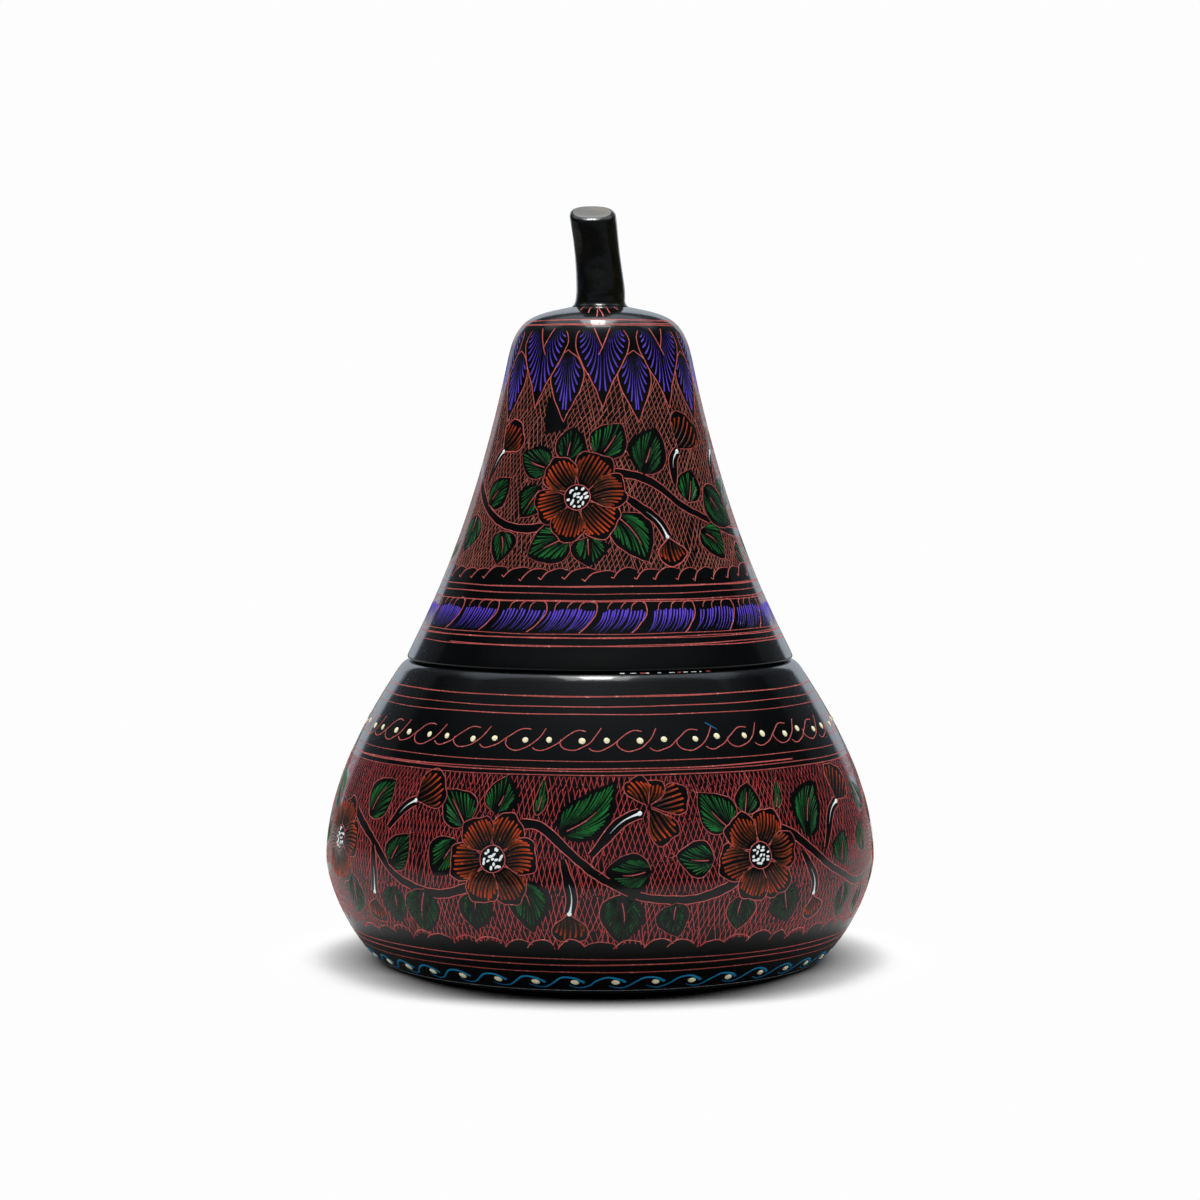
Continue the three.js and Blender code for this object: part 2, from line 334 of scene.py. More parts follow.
turning = {
    "skin": 0.06,  # how far the drawn surface lies inside the solid's
    "segments": 288,
    "crease": math.radians(28),
    "seatGap": 0.3,  # between faces that rest on each other
}
bowlShape = {
    "belly": bowlHigh.x / mm,
    "bellyHeight": 26,
    "spigotTop": bowlHigh.z / mm,
    "ledge": lidLow.z / mm - turning["seatGap"],
    "foot": 54.3,
    "footSlope": 23,
    "footReach": 7.5,
    "reachDown": 7.5,
    "reachUp": 17.2,
    "lip": 48.9,
    "lipSlope": 55,
    "shoulderReach": 16,
    "lipRound": 2.0,
    "footRound": 0.5,
    "dish": 46,
    "dishDepth": 0.9,
    "wall": 6,
    "floor": 8,
    "cove": 9,
    "neckBelow": 6,  # how far under the ledge the hollow starts to narrow
    "spigot": 43.7,
    "mouth": 39.7,
    "chamfer": 0.7,
}
lidShape = {
    "edge": 48.5,
    "bottom": lidLow.z / mm,
    "edgeSlope": 68,
    "edgeReach": 8.4,
    "edgeRound": 1.0,
    "neck": 22.9,
    "neckHeight": lidHigh.z / mm - 12.6,
    "neckSlope": 78,
    "reachDown": 49.5,
    "reachUp": 10.3,
    "crown": lidHigh.z / mm,
    "crownSlope": 11.5,
    "crownReach": 9.3,
    "seat": 7.65,
    "wall": 6,
    "topThickness": 15,
    "dome": 9,
    "wallPoints": 80,  # of the outline, which the hollow follows before it folds over
    "rebate": 44.1,
    "rebateTop": bowlShape["spigotTop"] + turning["seatGap"],
    "socket": 3.9,
    "socketDepth": 9.0,
}


def away(start, slope, reach):
    angle = math.radians(slope)
    return np.add(start, (math.cos(angle) * reach, math.sin(angle) * reach))


def bezier(points, count):
    t = np.linspace(0, 1, count)[:, None]
    points = [np.asarray(point, float) for point in points]
    while len(points) > 1:
        points = [(1 - t) * a + t * b for a, b in zip(points, points[1:])]
    return points[0]


def unit(vectors):
    return vectors / np.linalg.norm(vectors, axis=1)[:, None]


def movedIn(outline, depth):
    # the outline runs upwards with the wood on its left
    along = unit(np.gradient(outline, axis=0))
    return outline + depth * np.column_stack([-along[:, 1], along[:, 0]])


def atHeight(outline, height):
    return np.array([np.interp(height, outline[:, 1], outline[:, 0]), height])


def between(outline, low, high):
    return outline[(outline[:, 1] > low) & (outline[:, 1] < high)]


def bowlSide():
    s = bowlShape
    foot, belly, lip = (s["foot"], 0), (s["belly"], s["bellyHeight"]), (s["lip"], s["ledge"])
    underBelly = (s["belly"], s["bellyHeight"] - s["reachDown"])
    overBelly = (s["belly"], s["bellyHeight"] + s["reachUp"])
    lower = bezier([foot, away(foot, s["footSlope"], s["footReach"]), underBelly, belly], 34)
    upper = bezier([belly, overBelly, away(lip, -s["lipSlope"], s["shoulderReach"]), lip], 60)
    return movedIn(np.vstack([lower, upper[1:]]), turning["skin"])


def lidSide():
    s = lidShape
    edge, neck, seat = (s["edge"], s["bottom"]), (s["neck"], s["neckHeight"]), (s["seat"], s["crown"])
    overEdge = away(edge, 180 - s["edgeSlope"], s["edgeReach"])
    flank = bezier([edge, overEdge, away(neck, -s["neckSlope"], s["reachDown"]), neck], 70)
    overNeck = away(neck, 180 - s["neckSlope"], s["reachUp"])
    crown = bezier([neck, overNeck, away(seat, -s["crownSlope"], s["crownReach"]), seat], 44)
    return movedIn(np.vstack([flank, crown[1:]]), turning["skin"])


def bowlOutline(side):
    # the whole section, and 1 where a point belongs to the red hollow
    s = bowlShape
    foot, ledge = s["footRound"], s["ledge"] - turning["skin"]
    footStart, lipStart = atHeight(side, foot), atHeight(side, ledge - s["lipRound"])
    outside = [
        [(0, s["dishDepth"]), (s["dish"] - 2 * s["dishDepth"], s["dishDepth"]), (s["dish"], 0)],
        bezier([(s["foot"] - foot, 0), (s["foot"], 0), footStart], 5),
        between(side, foot, ledge - s["lipRound"]),
        bezier([lipStart, (s["lip"], ledge), (s["lip"] - s["lipRound"], ledge)], 7),
        [(s["spigot"], ledge), (s["spigot"], s["spigotTop"] - s["chamfer"])],
        [(s["spigot"] - s["chamfer"], s["spigotTop"])],
    ]
    wall = movedIn(side, s["wall"])
    inner = between(wall, s["floor"] + s["cove"], s["ledge"] - s["neckBelow"])[::-1]
    neckEnd = (s["mouth"], s["ledge"])
    neckMiddle = (s["mouth"], (inner[0][1] + s["ledge"]) / 2)
    coveEnd = (inner[-1][0] - s["cove"], s["floor"])
    inside = [
        [(s["mouth"] + s["chamfer"], s["spigotTop"]), (s["mouth"], s["spigotTop"] - s["chamfer"])],
        bezier([neckEnd, neckMiddle, inner[0]], 9),
        inner[1:-1],
        bezier([inner[-1], (inner[-1][0], s["floor"]), coveEnd], 12),
        [(0, s["floor"])],
    ]
    return markedCoat(outside, inside)


def lidOutline(side):
    s = lidShape
    wall = movedIn(side, s["wall"])[: s["wallPoints"]]
    cavityTop = s["crown"] - s["topThickness"]
    domeEnd = atHeight(wall, cavityTop - s["dome"])
    dome = bezier([(0, cavityTop), (domeEnd[0], cavityTop), domeEnd], 14)
    inner = between(wall, s["rebateTop"], domeEnd[1])[::-1]
    inside = [dome, inner, [(inner[-1][0], s["rebateTop"]), (s["rebate"], s["rebateTop"])]]
    bottom, crown, edgeRound = s["bottom"] + 0.02, side[-1][1], s["edgeRound"]
    edgeEnd = atHeight(side, bottom + edgeRound)
    outside = [
        [(s["rebate"], bottom)],
        bezier([(s["edge"] - edgeRound, bottom), (s["edge"], bottom), edgeEnd], 7),
        side[side[:, 1] > bottom + edgeRound],
        [(s["socket"], crown), (s["socket"], crown - s["socketDepth"]), (0, crown - s["socketDepth"])],
    ]
    return markedCoat(inside, outside, insideFirst=True)


def markedCoat(first, second, insideFirst=False):
    first, second = np.vstack(first), np.vstack(second)
    marks = np.repeat([float(insideFirst), float(not insideFirst)], [len(first), len(second)])
    return np.vstack([first, second]), marks


def turnedBodyTree():
    inputs = {
        "Segments": ("Int", turning["segments"]),
        "Points": ("Int", 100),
        "Crease": ("Float", turning["crease"]),
        "Outside": ("Material", None),
        "Inside": ("Material", None),
    }
    tree, given = geometryTree("turnedBody", inputs)
    columns = calc(tree, "ADD", given["Segments"], 1)
    sheet = grown(tree, "MeshGrid", {"Vertices X": columns, "Vertices Y": given["Points"]})
    index = grown(tree, "InputIndex")
    level = calc(tree, "FLOORED_MODULO", index, given["Points"])
    column = calc(tree, "FLOOR", calc(tree, "DIVIDE", index, given["Points"]))
    angle = calc(tree, "DIVIDE", calc(tree, "MULTIPLY", column, math.tau), given["Segments"])

    def fromOutline(value, kind):
        sockets = {"Geometry": given["Geometry"], "Value": value, "Index": level}
        return grown(tree, "SampleIndex", sockets, data_type=kind, domain="POINT")

    place = fromOutline(grown(tree, "InputPosition"), "FLOAT_VECTOR")
    turn = put(tree, "ShaderNodeVectorRotate", {"Vector": place, "Angle": angle}, rotation_type="Z_AXIS")
    shape = grown(tree, "SetPosition", {"Geometry": sheet, "Position": turn.outputs[0]})
    coat = fromOutline(attributeOf(tree, "coat"), "FLOAT")
    stored = {"Geometry": shape, "Name": "coat", "Value": coat}
    shape = grown(tree, "StoreNamedAttribute", stored, data_type="FLOAT", domain="POINT")
    shape = grown(tree, "MergeByDistance", {"Geometry": shape, "Distance": 0.01 * mm})
    shape = creased(tree, shape, given["Crease"])
    shape = grown(tree, "RealizeInstances", {"Geometry": shape})
    shape = coated(tree, shape, given["Outside"])
    hollow = calc(tree, "GREATER_THAN", attributeOf(tree, "coat"), 0.75)
    put(tree, "NodeGroupOutput", {"Geometry": coated(tree, shape, given["Inside"], hollow)})
    return tree


turnedBody = turnedBodyTree()


def turn(name, outline, coat):
    points = np.column_stack([outline[:, 0], np.zeros(len(outline)), outline[:, 1]]) * mm
    edges = [(i, i + 1) for i in range(len(points) - 1)]
    seed = meshOf(name + "Outline", points, edges, coat=coat)
    inputs = {"Points": len(points), "Outside": bodyCoats[name], "Inside": bodyCoats["inside"]}
    piece = grow(name + "Turned", seed, turnedBody, inputs)
    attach(piece, name)
    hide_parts(name)


bowlFlank, lidFlank = bowlSide(), lidSide()
turn("bowl", *bowlOutline(bowlFlank))
turn("lid", *lidOutline(lidFlank))


# The stem, carved by hand: squarish, leaning, with a slanting cut end and a tenon in the lid

stemShape = {
    "bottom": lidHigh.z / mm + 0.04,
    "foot": 12.5,
    "waist": 11.4,
    "end": 11.7,
    "waistShare": 0.6,
    "lean": 2.3,
    "leanPower": 1.6,
    "aside": 0.3,  # the shaft stands a little to the right of its foot
    "flare": 0.85,
    "flareHeight": 1.6,
    "endRound": 1.1,
    "cut": math.tan(math.radians(20)),
    "squareness": 2.4,
    "tenon": 3.6,
    "tenonLength": 8.9,
    "tenonChamfer": 0.6,
    "segments": 120,
    "carving": 0.13,  # depth of the knife's facets
    "dip": 0.35,  # of the cut face's middle
    "skin": 0.02,
}


def eased(x, low=0.0, high=1.0):
    t = np.clip((x - low) / (high - low), 0, 1)
    return t * t * (3 - 2 * t)


def stemHalfWidth(share):
    s = stemShape
    wide = s["foot"] if share < s["waistShare"] else s["end"]
    span = s["waistShare"] if share < s["waistShare"] else 1 - s["waistShare"]
    return (s["waist"] + (wide - s["waist"]) * eased(abs(share - s["waistShare"]) / span)) / 2


def stemRing(height, radius, lean=0.0, squareness=2.0, slant=0.0, carving=0.0):
    angle = np.arange(stemShape["segments"]) / stemShape["segments"] * math.tau
    c, s = np.cos(angle), np.sin(angle)
    knife = 0.5 + 0.3 * np.sin(3 * angle + height * 0.33) + 0.2 * np.sin(7 * angle - height * 0.21)
    reach = radius - carving * knife
    x = np.sign(c) * np.abs(c) ** (2 / squareness) * reach
    y = np.sign(s) * np.abs(s) ** (2 / squareness) * reach
    return np.column_stack([x + lean, y, height + slant * y])


def makeStem():
    s = stemShape
    bottom, skin = s["bottom"], s["skin"]
    slantRise = s["cut"] * (s["end"] / 2 - s["endRound"]) + s["endRound"] * (math.hypot(1, s["cut"]) - 1)
    length = stemHigh.z / mm - bottom - slantRise
    rings = [
        stemRing(bottom - s["tenonLength"], s["tenon"] - s["tenonChamfer"]),
        stemRing(bottom - s["tenonLength"] + s["tenonChamfer"], s["tenon"]),
        stemRing(bottom + 0.02, s["tenon"]),
    ]
    shaftTop = length - s["endRound"]
    flared = np.linspace(0.02, s["flareHeight"], 9)[:-1]
    for rise in np.concatenate([flared, np.linspace(s["flareHeight"], shaftTop, 60)]):
        share = rise / length
        flare = s["flare"] * max(0.0, 1 - rise / s["flareHeight"]) ** 2
        settled = min(1.0, max(0.0, rise / s["flareHeight"] - 0.6))
        lean = s["aside"] * eased(share, 0, 0.2) - s["lean"] * share ** s["leanPower"]
        squareness = 2 + (s["squareness"] - 2) * min(1, share * 3)
        slant, carving = s["cut"] * eased(share, 0.45, 0.9), s["carving"] * settled
        radius = stemHalfWidth(share) + flare - skin
        rings.append(stemRing(bottom + rise, radius, lean, squareness, slant, carving))
    for bend in np.linspace(0, math.pi / 2, 14)[1:]:
        rise = shaftTop + s["endRound"] * math.sin(bend) - skin
        radius = s["end"] / 2 - s["endRound"] * (1 - math.cos(bend)) - skin
        lean = s["aside"] - s["lean"] * (rise / length) ** s["leanPower"]
        carving = s["carving"] * math.cos(bend)
        rings.append(stemRing(bottom + rise, radius, lean, s["squareness"], s["cut"], carving))
    centre, rim = rings[-1].mean(0), rings[-1]
    cutStart = (len(rings) - 1) * s["segments"]
    for share in (0.8, 0.55, 0.28):
        ring = centre + (rim - centre) * share
        ring[:, 2] -= s["dip"] * eased(1 - share, 0, 0.5)
        rings.append(ring)
    count, top = s["segments"], len(rings) * s["segments"]
    points = np.vstack(rings + [centre - (0, 0, s["dip"]), rings[0].mean(0)]) * mm
    faces = []
    for level in range(len(rings) - 1):
        for i in range(count):
            a, b = level * count + i, level * count + (i + 1) % count
            faces.append((a, b, b + count, a + count))
    for i in range(count):
        following = (i + 1) % count
        faces.append((top - count + i, top - count + following, top))
        faces.append((following, i, top + 1))
    mesh = meshOf("stemCarved", points, faces=faces)
    for coat in ("stem", "stemCut"):
        mesh.materials.append(bodyCoats[coat])
    mesh.shade_smooth()
    for face in mesh.polygons:
        face.material_index = int(min(face.vertices) >= cutStart and max(face.vertices) <= top)
    piece = link("stemCarved", mesh)
    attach(piece, "lid")
    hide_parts("stem")
    say(f"stemCarved: {len(faces) * 2} triangles")


makeStem()


# The etching. A canvas is one body's outside unrolled: degrees round the axis, and millimetres
# up along the outline. Motifs are drawn front to back, each keeping later lines off its ground.

etching = {
    "cell": 0.15,  # fineness of the covered ground
    "probe": 0.3,  # steps in which a line is tested against it
    "step": 0.95,  # longest straight bit of a curved line
    "shortest": 0.5,
    "rise": 0.18,  # of a line's half width, how far its top stands out
    "bed": 0.25,  # and how deep it sits
    "shoulder": 0.62,  # width of its flat top
}


def insideOf(polygon, x, y):
    hit = np.zeros(np.broadcast(x, y).shape, bool)
    for (x0, y0), (x1, y1) in zip(polygon, np.roll(polygon, -1, axis=0)):
        if y0 != y1:
            hit ^= ((y0 > y) != (y1 > y)) & (x < (x1 - x0) * (y - y0) / (y1 - y0) + x0)
    return hit


def flowing(points, count=12):
    # a smooth curve through the points
    p = np.asarray(points, float)
    if len(p) < 3:
        return p
    p = np.vstack([2 * p[0] - p[1], p, 2 * p[-1] - p[-2]])
    t = np.linspace(0, 1, count, endpoint=False)[:, None]
    parts = []
    for a, b, c, d in zip(p, p[1:], p[2:], p[3:]):
        bend = (2 * a - 5 * b + 4 * c - d) * t**2 + (3 * b - a - 3 * c + d) * t**3
        parts.append(0.5 * (2 * b + (c - a) * t + bend))
    return np.vstack(parts + [p[-2:-1]])


def summed(lengths):
    return np.concatenate([[0], np.cumsum(lengths)])


def spread(values, share):
    # one value, or several that lie evenly along a line
    return np.interp(share, np.linspace(0, 1, np.size(values)), np.atleast_1d(values))


class Canvas:
    def __init__(self, body, outline):
        self.body = body
        self.outline = outline
        self.along = summed(np.linalg.norm(np.diff(outline, axis=0), axis=1))
        slope = unit(np.gradient(outline, axis=0))
        self.facing = np.column_stack([slope[:, 1], -slope[:, 0]])
        self.columns = int(math.tau * outline[:, 0].max() / etching["cell"])
        self.covered = np.zeros((self.columns, int(self.along[-1] / etching["cell"]) + 2), bool)
        self.strokes = {}
        self.dots = {}

    def up(self, height):
        return np.interp(height, self.outline[:, 1], self.along)

    def radius(self, along):
        return np.interp(along, self.along, self.outline[:, 0])

    def marks(self, points):
        # azimuth and height to canvas
        points = np.asarray(points, float)
        return np.column_stack([points[:, 0], self.up(points[:, 1])])

    def near(self, centre, points):
        # millimetres right and up of a centre (azimuth, height) to canvas
        points = np.asarray(points, float)
        along = self.up(centre[1]) + points[:, 1]
        return np.column_stack([centre[0] + np.degrees(points[:, 0] / self.radius(along)), along])

    def span(self, start, end):
        # millimetres right and up from one mark to another
        low, high = self.marks([start, end])
        middle = self.radius((low[1] + high[1]) / 2)
        return np.array([math.radians(high[0] - low[0]) * middle, high[1] - low[1]])

    def lengths(self, path):
        middle = self.radius((path[1:, 1] + path[:-1, 1]) / 2)
        return np.hypot(np.radians(np.diff(path[:, 0])) * middle, np.diff(path[:, 1]))

    def cover(self, polygon):
        perDegree, cell = self.columns / 360, etching["cell"]
        low, high = polygon.min(0), polygon.max(0)
        columns = np.arange(int(math.floor(low[0] * perDegree)), int(high[0] * perDegree) + 2)
        rows = np.arange(max(0, int(low[1] / cell)), min(self.covered.shape[1], int(high[1] / cell) + 2))
        hit = insideOf(polygon, (columns[:, None] + 0.5) / perDegree, (rows[None, :] + 0.5) * cell)
        self.covered[np.ix_(columns % self.columns, rows)] |= hit

    def free(self, path):
        columns = np.floor(path[:, 0] * self.columns / 360).astype(int) % self.columns
        rows = np.clip((path[:, 1] / etching["cell"]).astype(int), 0, self.covered.shape[1] - 1)
        return ~self.covered[columns, rows]

    def cut(self, lac, path, width, tone=0.8, clipped=True, shake=0.0, step=etching["step"]):
        # one cut line; width and tone may change along it
        lengths = self.lengths(path)
        total = lengths.sum()
        if total < etching["shortest"]:
            return
        reached = summed(lengths) / total
        share = np.linspace(0, 1, max(3, int(total / etching["probe"]) + 1))
        fine = np.column_stack([np.interp(share, reached, path[:, k]) for k in (0, 1)])
        if shake:
            waves, place = vary(0, math.tau, 4), share * total
            fine[:, 1] += shake * (np.sin(place * 1.7 + waves[0]) + np.sin(place * 0.6 + waves[1]))
            side = shake * (np.sin(place * 1.4 + waves[2]) + np.sin(place * 0.5 + waves[3]))
            fine[:, 0] += np.degrees(side / self.radius(fine[:, 1]))
        full = np.column_stack([fine, spread(width, share) / 2, spread(tone, share)])
        bare = self.free(fine) if clipped else np.ones(len(fine), bool)
        ends = np.flatnonzero(np.diff(np.concatenate([[0], bare.astype(int), [0]])))
        for first, last in zip(ends[::2], ends[1::2]):
            run = full[first:last]
            length = (last - first - 1) * total / (len(share) - 1)
            if len(run) > 1 and length >= etching["shortest"]:
                bits = max(1, int(math.ceil(length / step)))
                picked = np.linspace(0, len(run) - 1, bits + 1).round().astype(int)
                self.strokes.setdefault(lac, []).append(run[picked])

    def etch(self, lac, centre, points, width, tone=0.8, **how):
        # a cut line through millimetres right and up of a centre
        self.cut(lac, self.near(centre, points), width, tone, **how)

    def trim(self, lac, centre, points, width, tone, shake=0.0):
        # one that nothing covers
        self.etch(lac, centre, points, width, tone, clipped=False, shake=shake)

    def dot(self, lac, place, size, stretch=1.0, tilt=0.0):
        self.dots.setdefault(lac, []).append((*place, size, stretch, tilt))

    def lifted(self, azimuth, along):
        # canvas to place and outward direction in space
        angle = np.radians(azimuth)
        radius, height = (np.interp(along, self.along, self.outline[:, k]) for k in (0, 1))
        out, rise = (np.interp(along, self.along, self.facing[:, k]) for k in (0, 1))
        east = np.column_stack([np.cos(angle), np.sin(angle), np.zeros_like(angle)])
        place = np.column_stack([radius * np.sin(angle), -radius * np.cos(angle), height]) * mm
        facing = np.column_stack([out * np.sin(angle), -out * np.cos(angle), rise])
        return place, facing, east


def cutLineTree():
    inputs = {name: ("Float", etching[name]) for name in ("rise", "bed", "shoulder")}
    inputs["Material"] = ("Material", None)
    tree, given = geometryTree("cutLines", inputs)
    curve = grown(tree, "MeshToCurve", {"Mesh": given["Geometry"]})
    sockets = {"Curve": curve, "Normal": attributeOf(tree, "facing", "FLOAT_VECTOR")}
    curve = grown(tree, "SetCurveNormal", sockets, mode="FREE")
    # the section: x points out of the wood, y across the line
    bed = calc(tree, "MULTIPLY", given["bed"], -1)
    leftTop = calc(tree, "MULTIPLY", given["shoulder"], -1)
    corners, rise = {}, given["rise"]
    for index, (x, y) in enumerate(((bed, -1), (rise, leftTop), (rise, given["shoulder"]), (bed, 1))):
        corners[f"Point {index + 1}"] = put(tree, "ShaderNodeCombineXYZ", {"X": x, "Y": y}).outputs[0]
    section = grown(tree, "CurvePrimitiveQuadrilateral", corners, mode="POINTS")
    sockets = {"Curve": curve, "Profile Curve": section, "Fill Caps": True}
    sockets["Scale"] = attributeOf(tree, "halfWidth")
    shape = grown(tree, "CurveToMesh", sockets)
    shape = grown(tree, "SetShadeSmooth", {"Geometry": shape, "Shade Smooth": False})
    shape = grown(tree, "RealizeInstances", {"Geometry": shape})
    put(tree, "NodeGroupOutput", {"Geometry": coated(tree, shape, given["Material"])})
    return tree


def dotTree():
    inputs = {"Flatness": ("Float", 0.3), "Segments": ("Int", 12), "Rings": ("Int", 6)}
    inputs["Material"] = ("Material", None)
    tree, given = geometryTree("paintDots", inputs)
    sockets = {"Segments": given["Segments"], "Rings": given["Rings"], "Radius": 1.0}
    drop = grown(tree, "MeshUVSphere", sockets)
    drop = grown(tree, "SetShadeSmooth", {"Geometry": drop, "Shade Smooth": True})
    facing, east = (attributeOf(tree, name, "FLOAT_VECTOR") for name in ("facing", "across"))
    sockets = {"Primary Axis": facing, "Secondary Axis": east}
    aim = put(tree, "FunctionNodeAxesToRotation", sockets, primary_axis="Z", secondary_axis="X").outputs[0]
    size = attributeOf(tree, "halfWidth")
    wide = calc(tree, "MULTIPLY", size, attributeOf(tree, "stretch"))
    flat = calc(tree, "MULTIPLY", size, given["Flatness"])
    scale = put(tree, "ShaderNodeCombineXYZ", {"X": wide, "Y": size, "Z": flat}).outputs[0]
    sockets = {"Points": given["Geometry"], "Instance": drop, "Rotation": aim, "Scale": scale}
    shape = grown(tree, "InstanceOnPoints", sockets)
    shape = grown(tree, "RealizeInstances", {"Geometry": shape})
    put(tree, "NodeGroupOutput", {"Geometry": coated(tree, shape, given["Material"])})
    return tree


cutLines, paintDots = cutLineTree(), dotTree()


def finishPiece(piece, body):
    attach(piece, body)


def layLac(canvas):
    for lac, strokes in canvas.strokes.items():
        every = np.vstack(strokes)
        place, facing, _ = canvas.lifted(every[:, 0], every[:, 1])
        starts = np.cumsum([0] + [len(run) for run in strokes])
        edges = [(i, i + 1) for a, b in zip(starts, starts[1:]) for i in range(a, b - 1)]
        seed = meshOf("cuts", place, edges, facing=facing, halfWidth=every[:, 2] * mm, tone=every[:, 3])
        name = canvas.body + lac.capitalize() + "Cuts"
        material = lacs.get(canvas.body + lac.capitalize(), lacs[lac])
        finishPiece(grow(name, seed, cutLines, {"Material": material}), canvas.body)
    for lac, dots in canvas.dots.items():
        every = np.array(dots)
        place, facing, east = canvas.lifted(every[:, 0], every[:, 1])
        north = np.cross(facing, east)
        tilt = np.radians(every[:, 4])[:, None]
        across = east * np.cos(tilt) + north * np.sin(tilt)
        fields = {"facing": facing, "across": across, "halfWidth": every[:, 2] * mm / 2}
        seed = meshOf("dots", place, stretch=every[:, 3], tone=np.ones(len(every)), **fields)
        name = canvas.body + lac.capitalize() + "Dots"
        finishPiece(grow(name, seed, paintDots, {"Material": lacs[lac]}), canvas.body)


bowlCanvas, lidCanvas = Canvas("bowl", bowlFlank), Canvas("lid", lidFlank)


# Flowers, leaves, buds and vines

flowerStyle = {
    "disc": 3.2,  # ring round the flower's heart
    "waist": 0.6,  # where petals part, as a share of the reach
    "overlap": 1.12,  # of neighbouring petals
    "widest": 64,  # degrees of a petal before the overlap
    "strokes": 12,
    "parallel": 0.74,  # how far apart strokes start, as a share of how far apart they end
    "rim": 0.68,
    "root": 0.26,
    "margin": 0.75,  # black edge between the colour and the outline
    "ragged": 0.8,
    "wave": 0.04,  # how wavy the outline is
    "line": 0.26,
    "hearts": 17,  # white dabs in the disc
}
leafStyle = {
    "wide": 0.86,  # width as a share of the length
    "widest": 10.6,
    "slipWide": 0.38,  # the same share of a narrow leaf
    "gap": 1.05,  # between the strokes' ends along the leaf
    "sweep": (0.4, 0.62),  # how far back a stroke starts, as a share of the length
    "rim": 0.44,
    "root": 0.16,
    "margin": (0.3, 1.5),
    "overrun": 2.2,  # how far an outline runs past the tip
    "unlined": 0.3,  # share of sides left without an outline
    "deepening": 1.7,  # how fast a stroke darkens towards the midrib
    "dullBelow": 28,  # the leaves under this height took little green
    "dull": 0.6,
    "dullDeepening": 3.2,
}


def petalRim(share, reach):
    waist = flowerStyle["waist"]
    return reach * (waist + (1 - waist) * (1 - np.abs(share) ** 2.6) ** 0.62)


def fromPolar(radius, degrees):
    angle = np.radians(degrees)
    return np.column_stack([radius * np.cos(angle), radius * np.sin(angle)])


def turned(spots, degrees):
    c, s = math.cos(math.radians(degrees)), math.sin(math.radians(degrees))
    return spots @ np.array([[c, s], [-s, c]])


def bearing(reach):
    return math.degrees(math.atan2(reach[1], reach[0]))


def swelling(style, steps, power, last):
    # a stroke's widths, from its root to its rim, with a blunt end
    widths = style["root"] + (style["rim"] - style["root"]) * steps**power
    widths[-1] *= last
    return widths


def petal(canvas, centre, direction, half, reach, root, count=None):
    style = flowerStyle
    shares, phase = np.linspace(-1, 1, 33), vary(0, math.tau, 2)
    notch = 1 + style["wave"] * (np.sin(shares * 5.5 + phase[0]) + 0.4 * np.sin(shares * 13 + phase[1]))
    rim = fromPolar(petalRim(shares, reach) * notch, direction + shares * half)
    roots = fromPolar(np.array([root, root]), direction + half * np.array([-0.72, 0.72]))
    outline = canvas.near(centre, np.vstack([roots[:1], rim, roots[1:]]))
    canvas.cut("line", outline, style["line"] * vary(0.85, 1.2), vary(0.4, 1.0), shake=0.05)
    count = count or style["strokes"]
    shade, lean, steps = vary(0.6, 1.15), vary(-0.06, 0.06), np.linspace(0, 1, 7)
    for share in np.linspace(-0.9, 0.9, count) + vary(-0.025, 0.025, count):
        far = petalRim(share, reach) - style["margin"] - vary(0, style["ragged"])
        end = fromPolar(far, np.array([share * half]))[0]
        side = end[1] * style["parallel"]
        inner = max(root + vary(0.2, 1.1), abs(side) / math.tan(math.radians(half)) + 0.5)
        start = np.array([inner, side])
        if end[0] - start[0] < 1:
            continue
        spots = start + (end - start) * steps[:, None]
        spots[:, 1] += (0.35 * share + lean * reach) * np.sin(math.pi * steps)
        bright = np.clip((0.02 + 0.98 * steps**2.3) * shade * vary(0.65, 1.15), 0, 1)
        widths = swelling(style, steps, 0.6, 0.75) * vary(0.85, 1.08)
        canvas.etch("orange", centre, turned(spots, direction), widths, bright)
    canvas.cover(outline)


def flower(canvas, centre, petals):
    style = flowerStyle
    ring = canvas.near(centre, fromPolar(style["disc"], np.linspace(70, 436, 25)))
    canvas.cut("line", ring, style["line"], 0.8, clipped=False, shake=0.04)
    canvas.cover(ring)
    spots = [(0, 0)] + [(1.1, a) for a in range(0, 360, 72)] + [(2.15, a) for a in range(20, 380, 33)]
    for radius, degrees in spots[: style["hearts"]]:
        radius = radius + vary(-0.3, 0.3)
        place = canvas.near(centre, fromPolar(radius, np.array([degrees + vary(-14, 14)])))[0]
        canvas.dot("white", place, vary(0.5, 0.72), vary(1.2, 2.2), 40 + vary(-50, 50))
    directions = np.array([direction for direction, _ in petals], float)
    for k in (*range(0, len(petals), 2), *range(1, len(petals), 2)):
        others = directions[directions != directions[k]]
        gaps = sorted(abs((directions[k] - others + 180) % 360 - 180))
        half = min(gaps[1], style["widest"]) / 2 * style["overlap"]
        petal(canvas, centre, directions[k], half, petals[k][1], style["disc"])


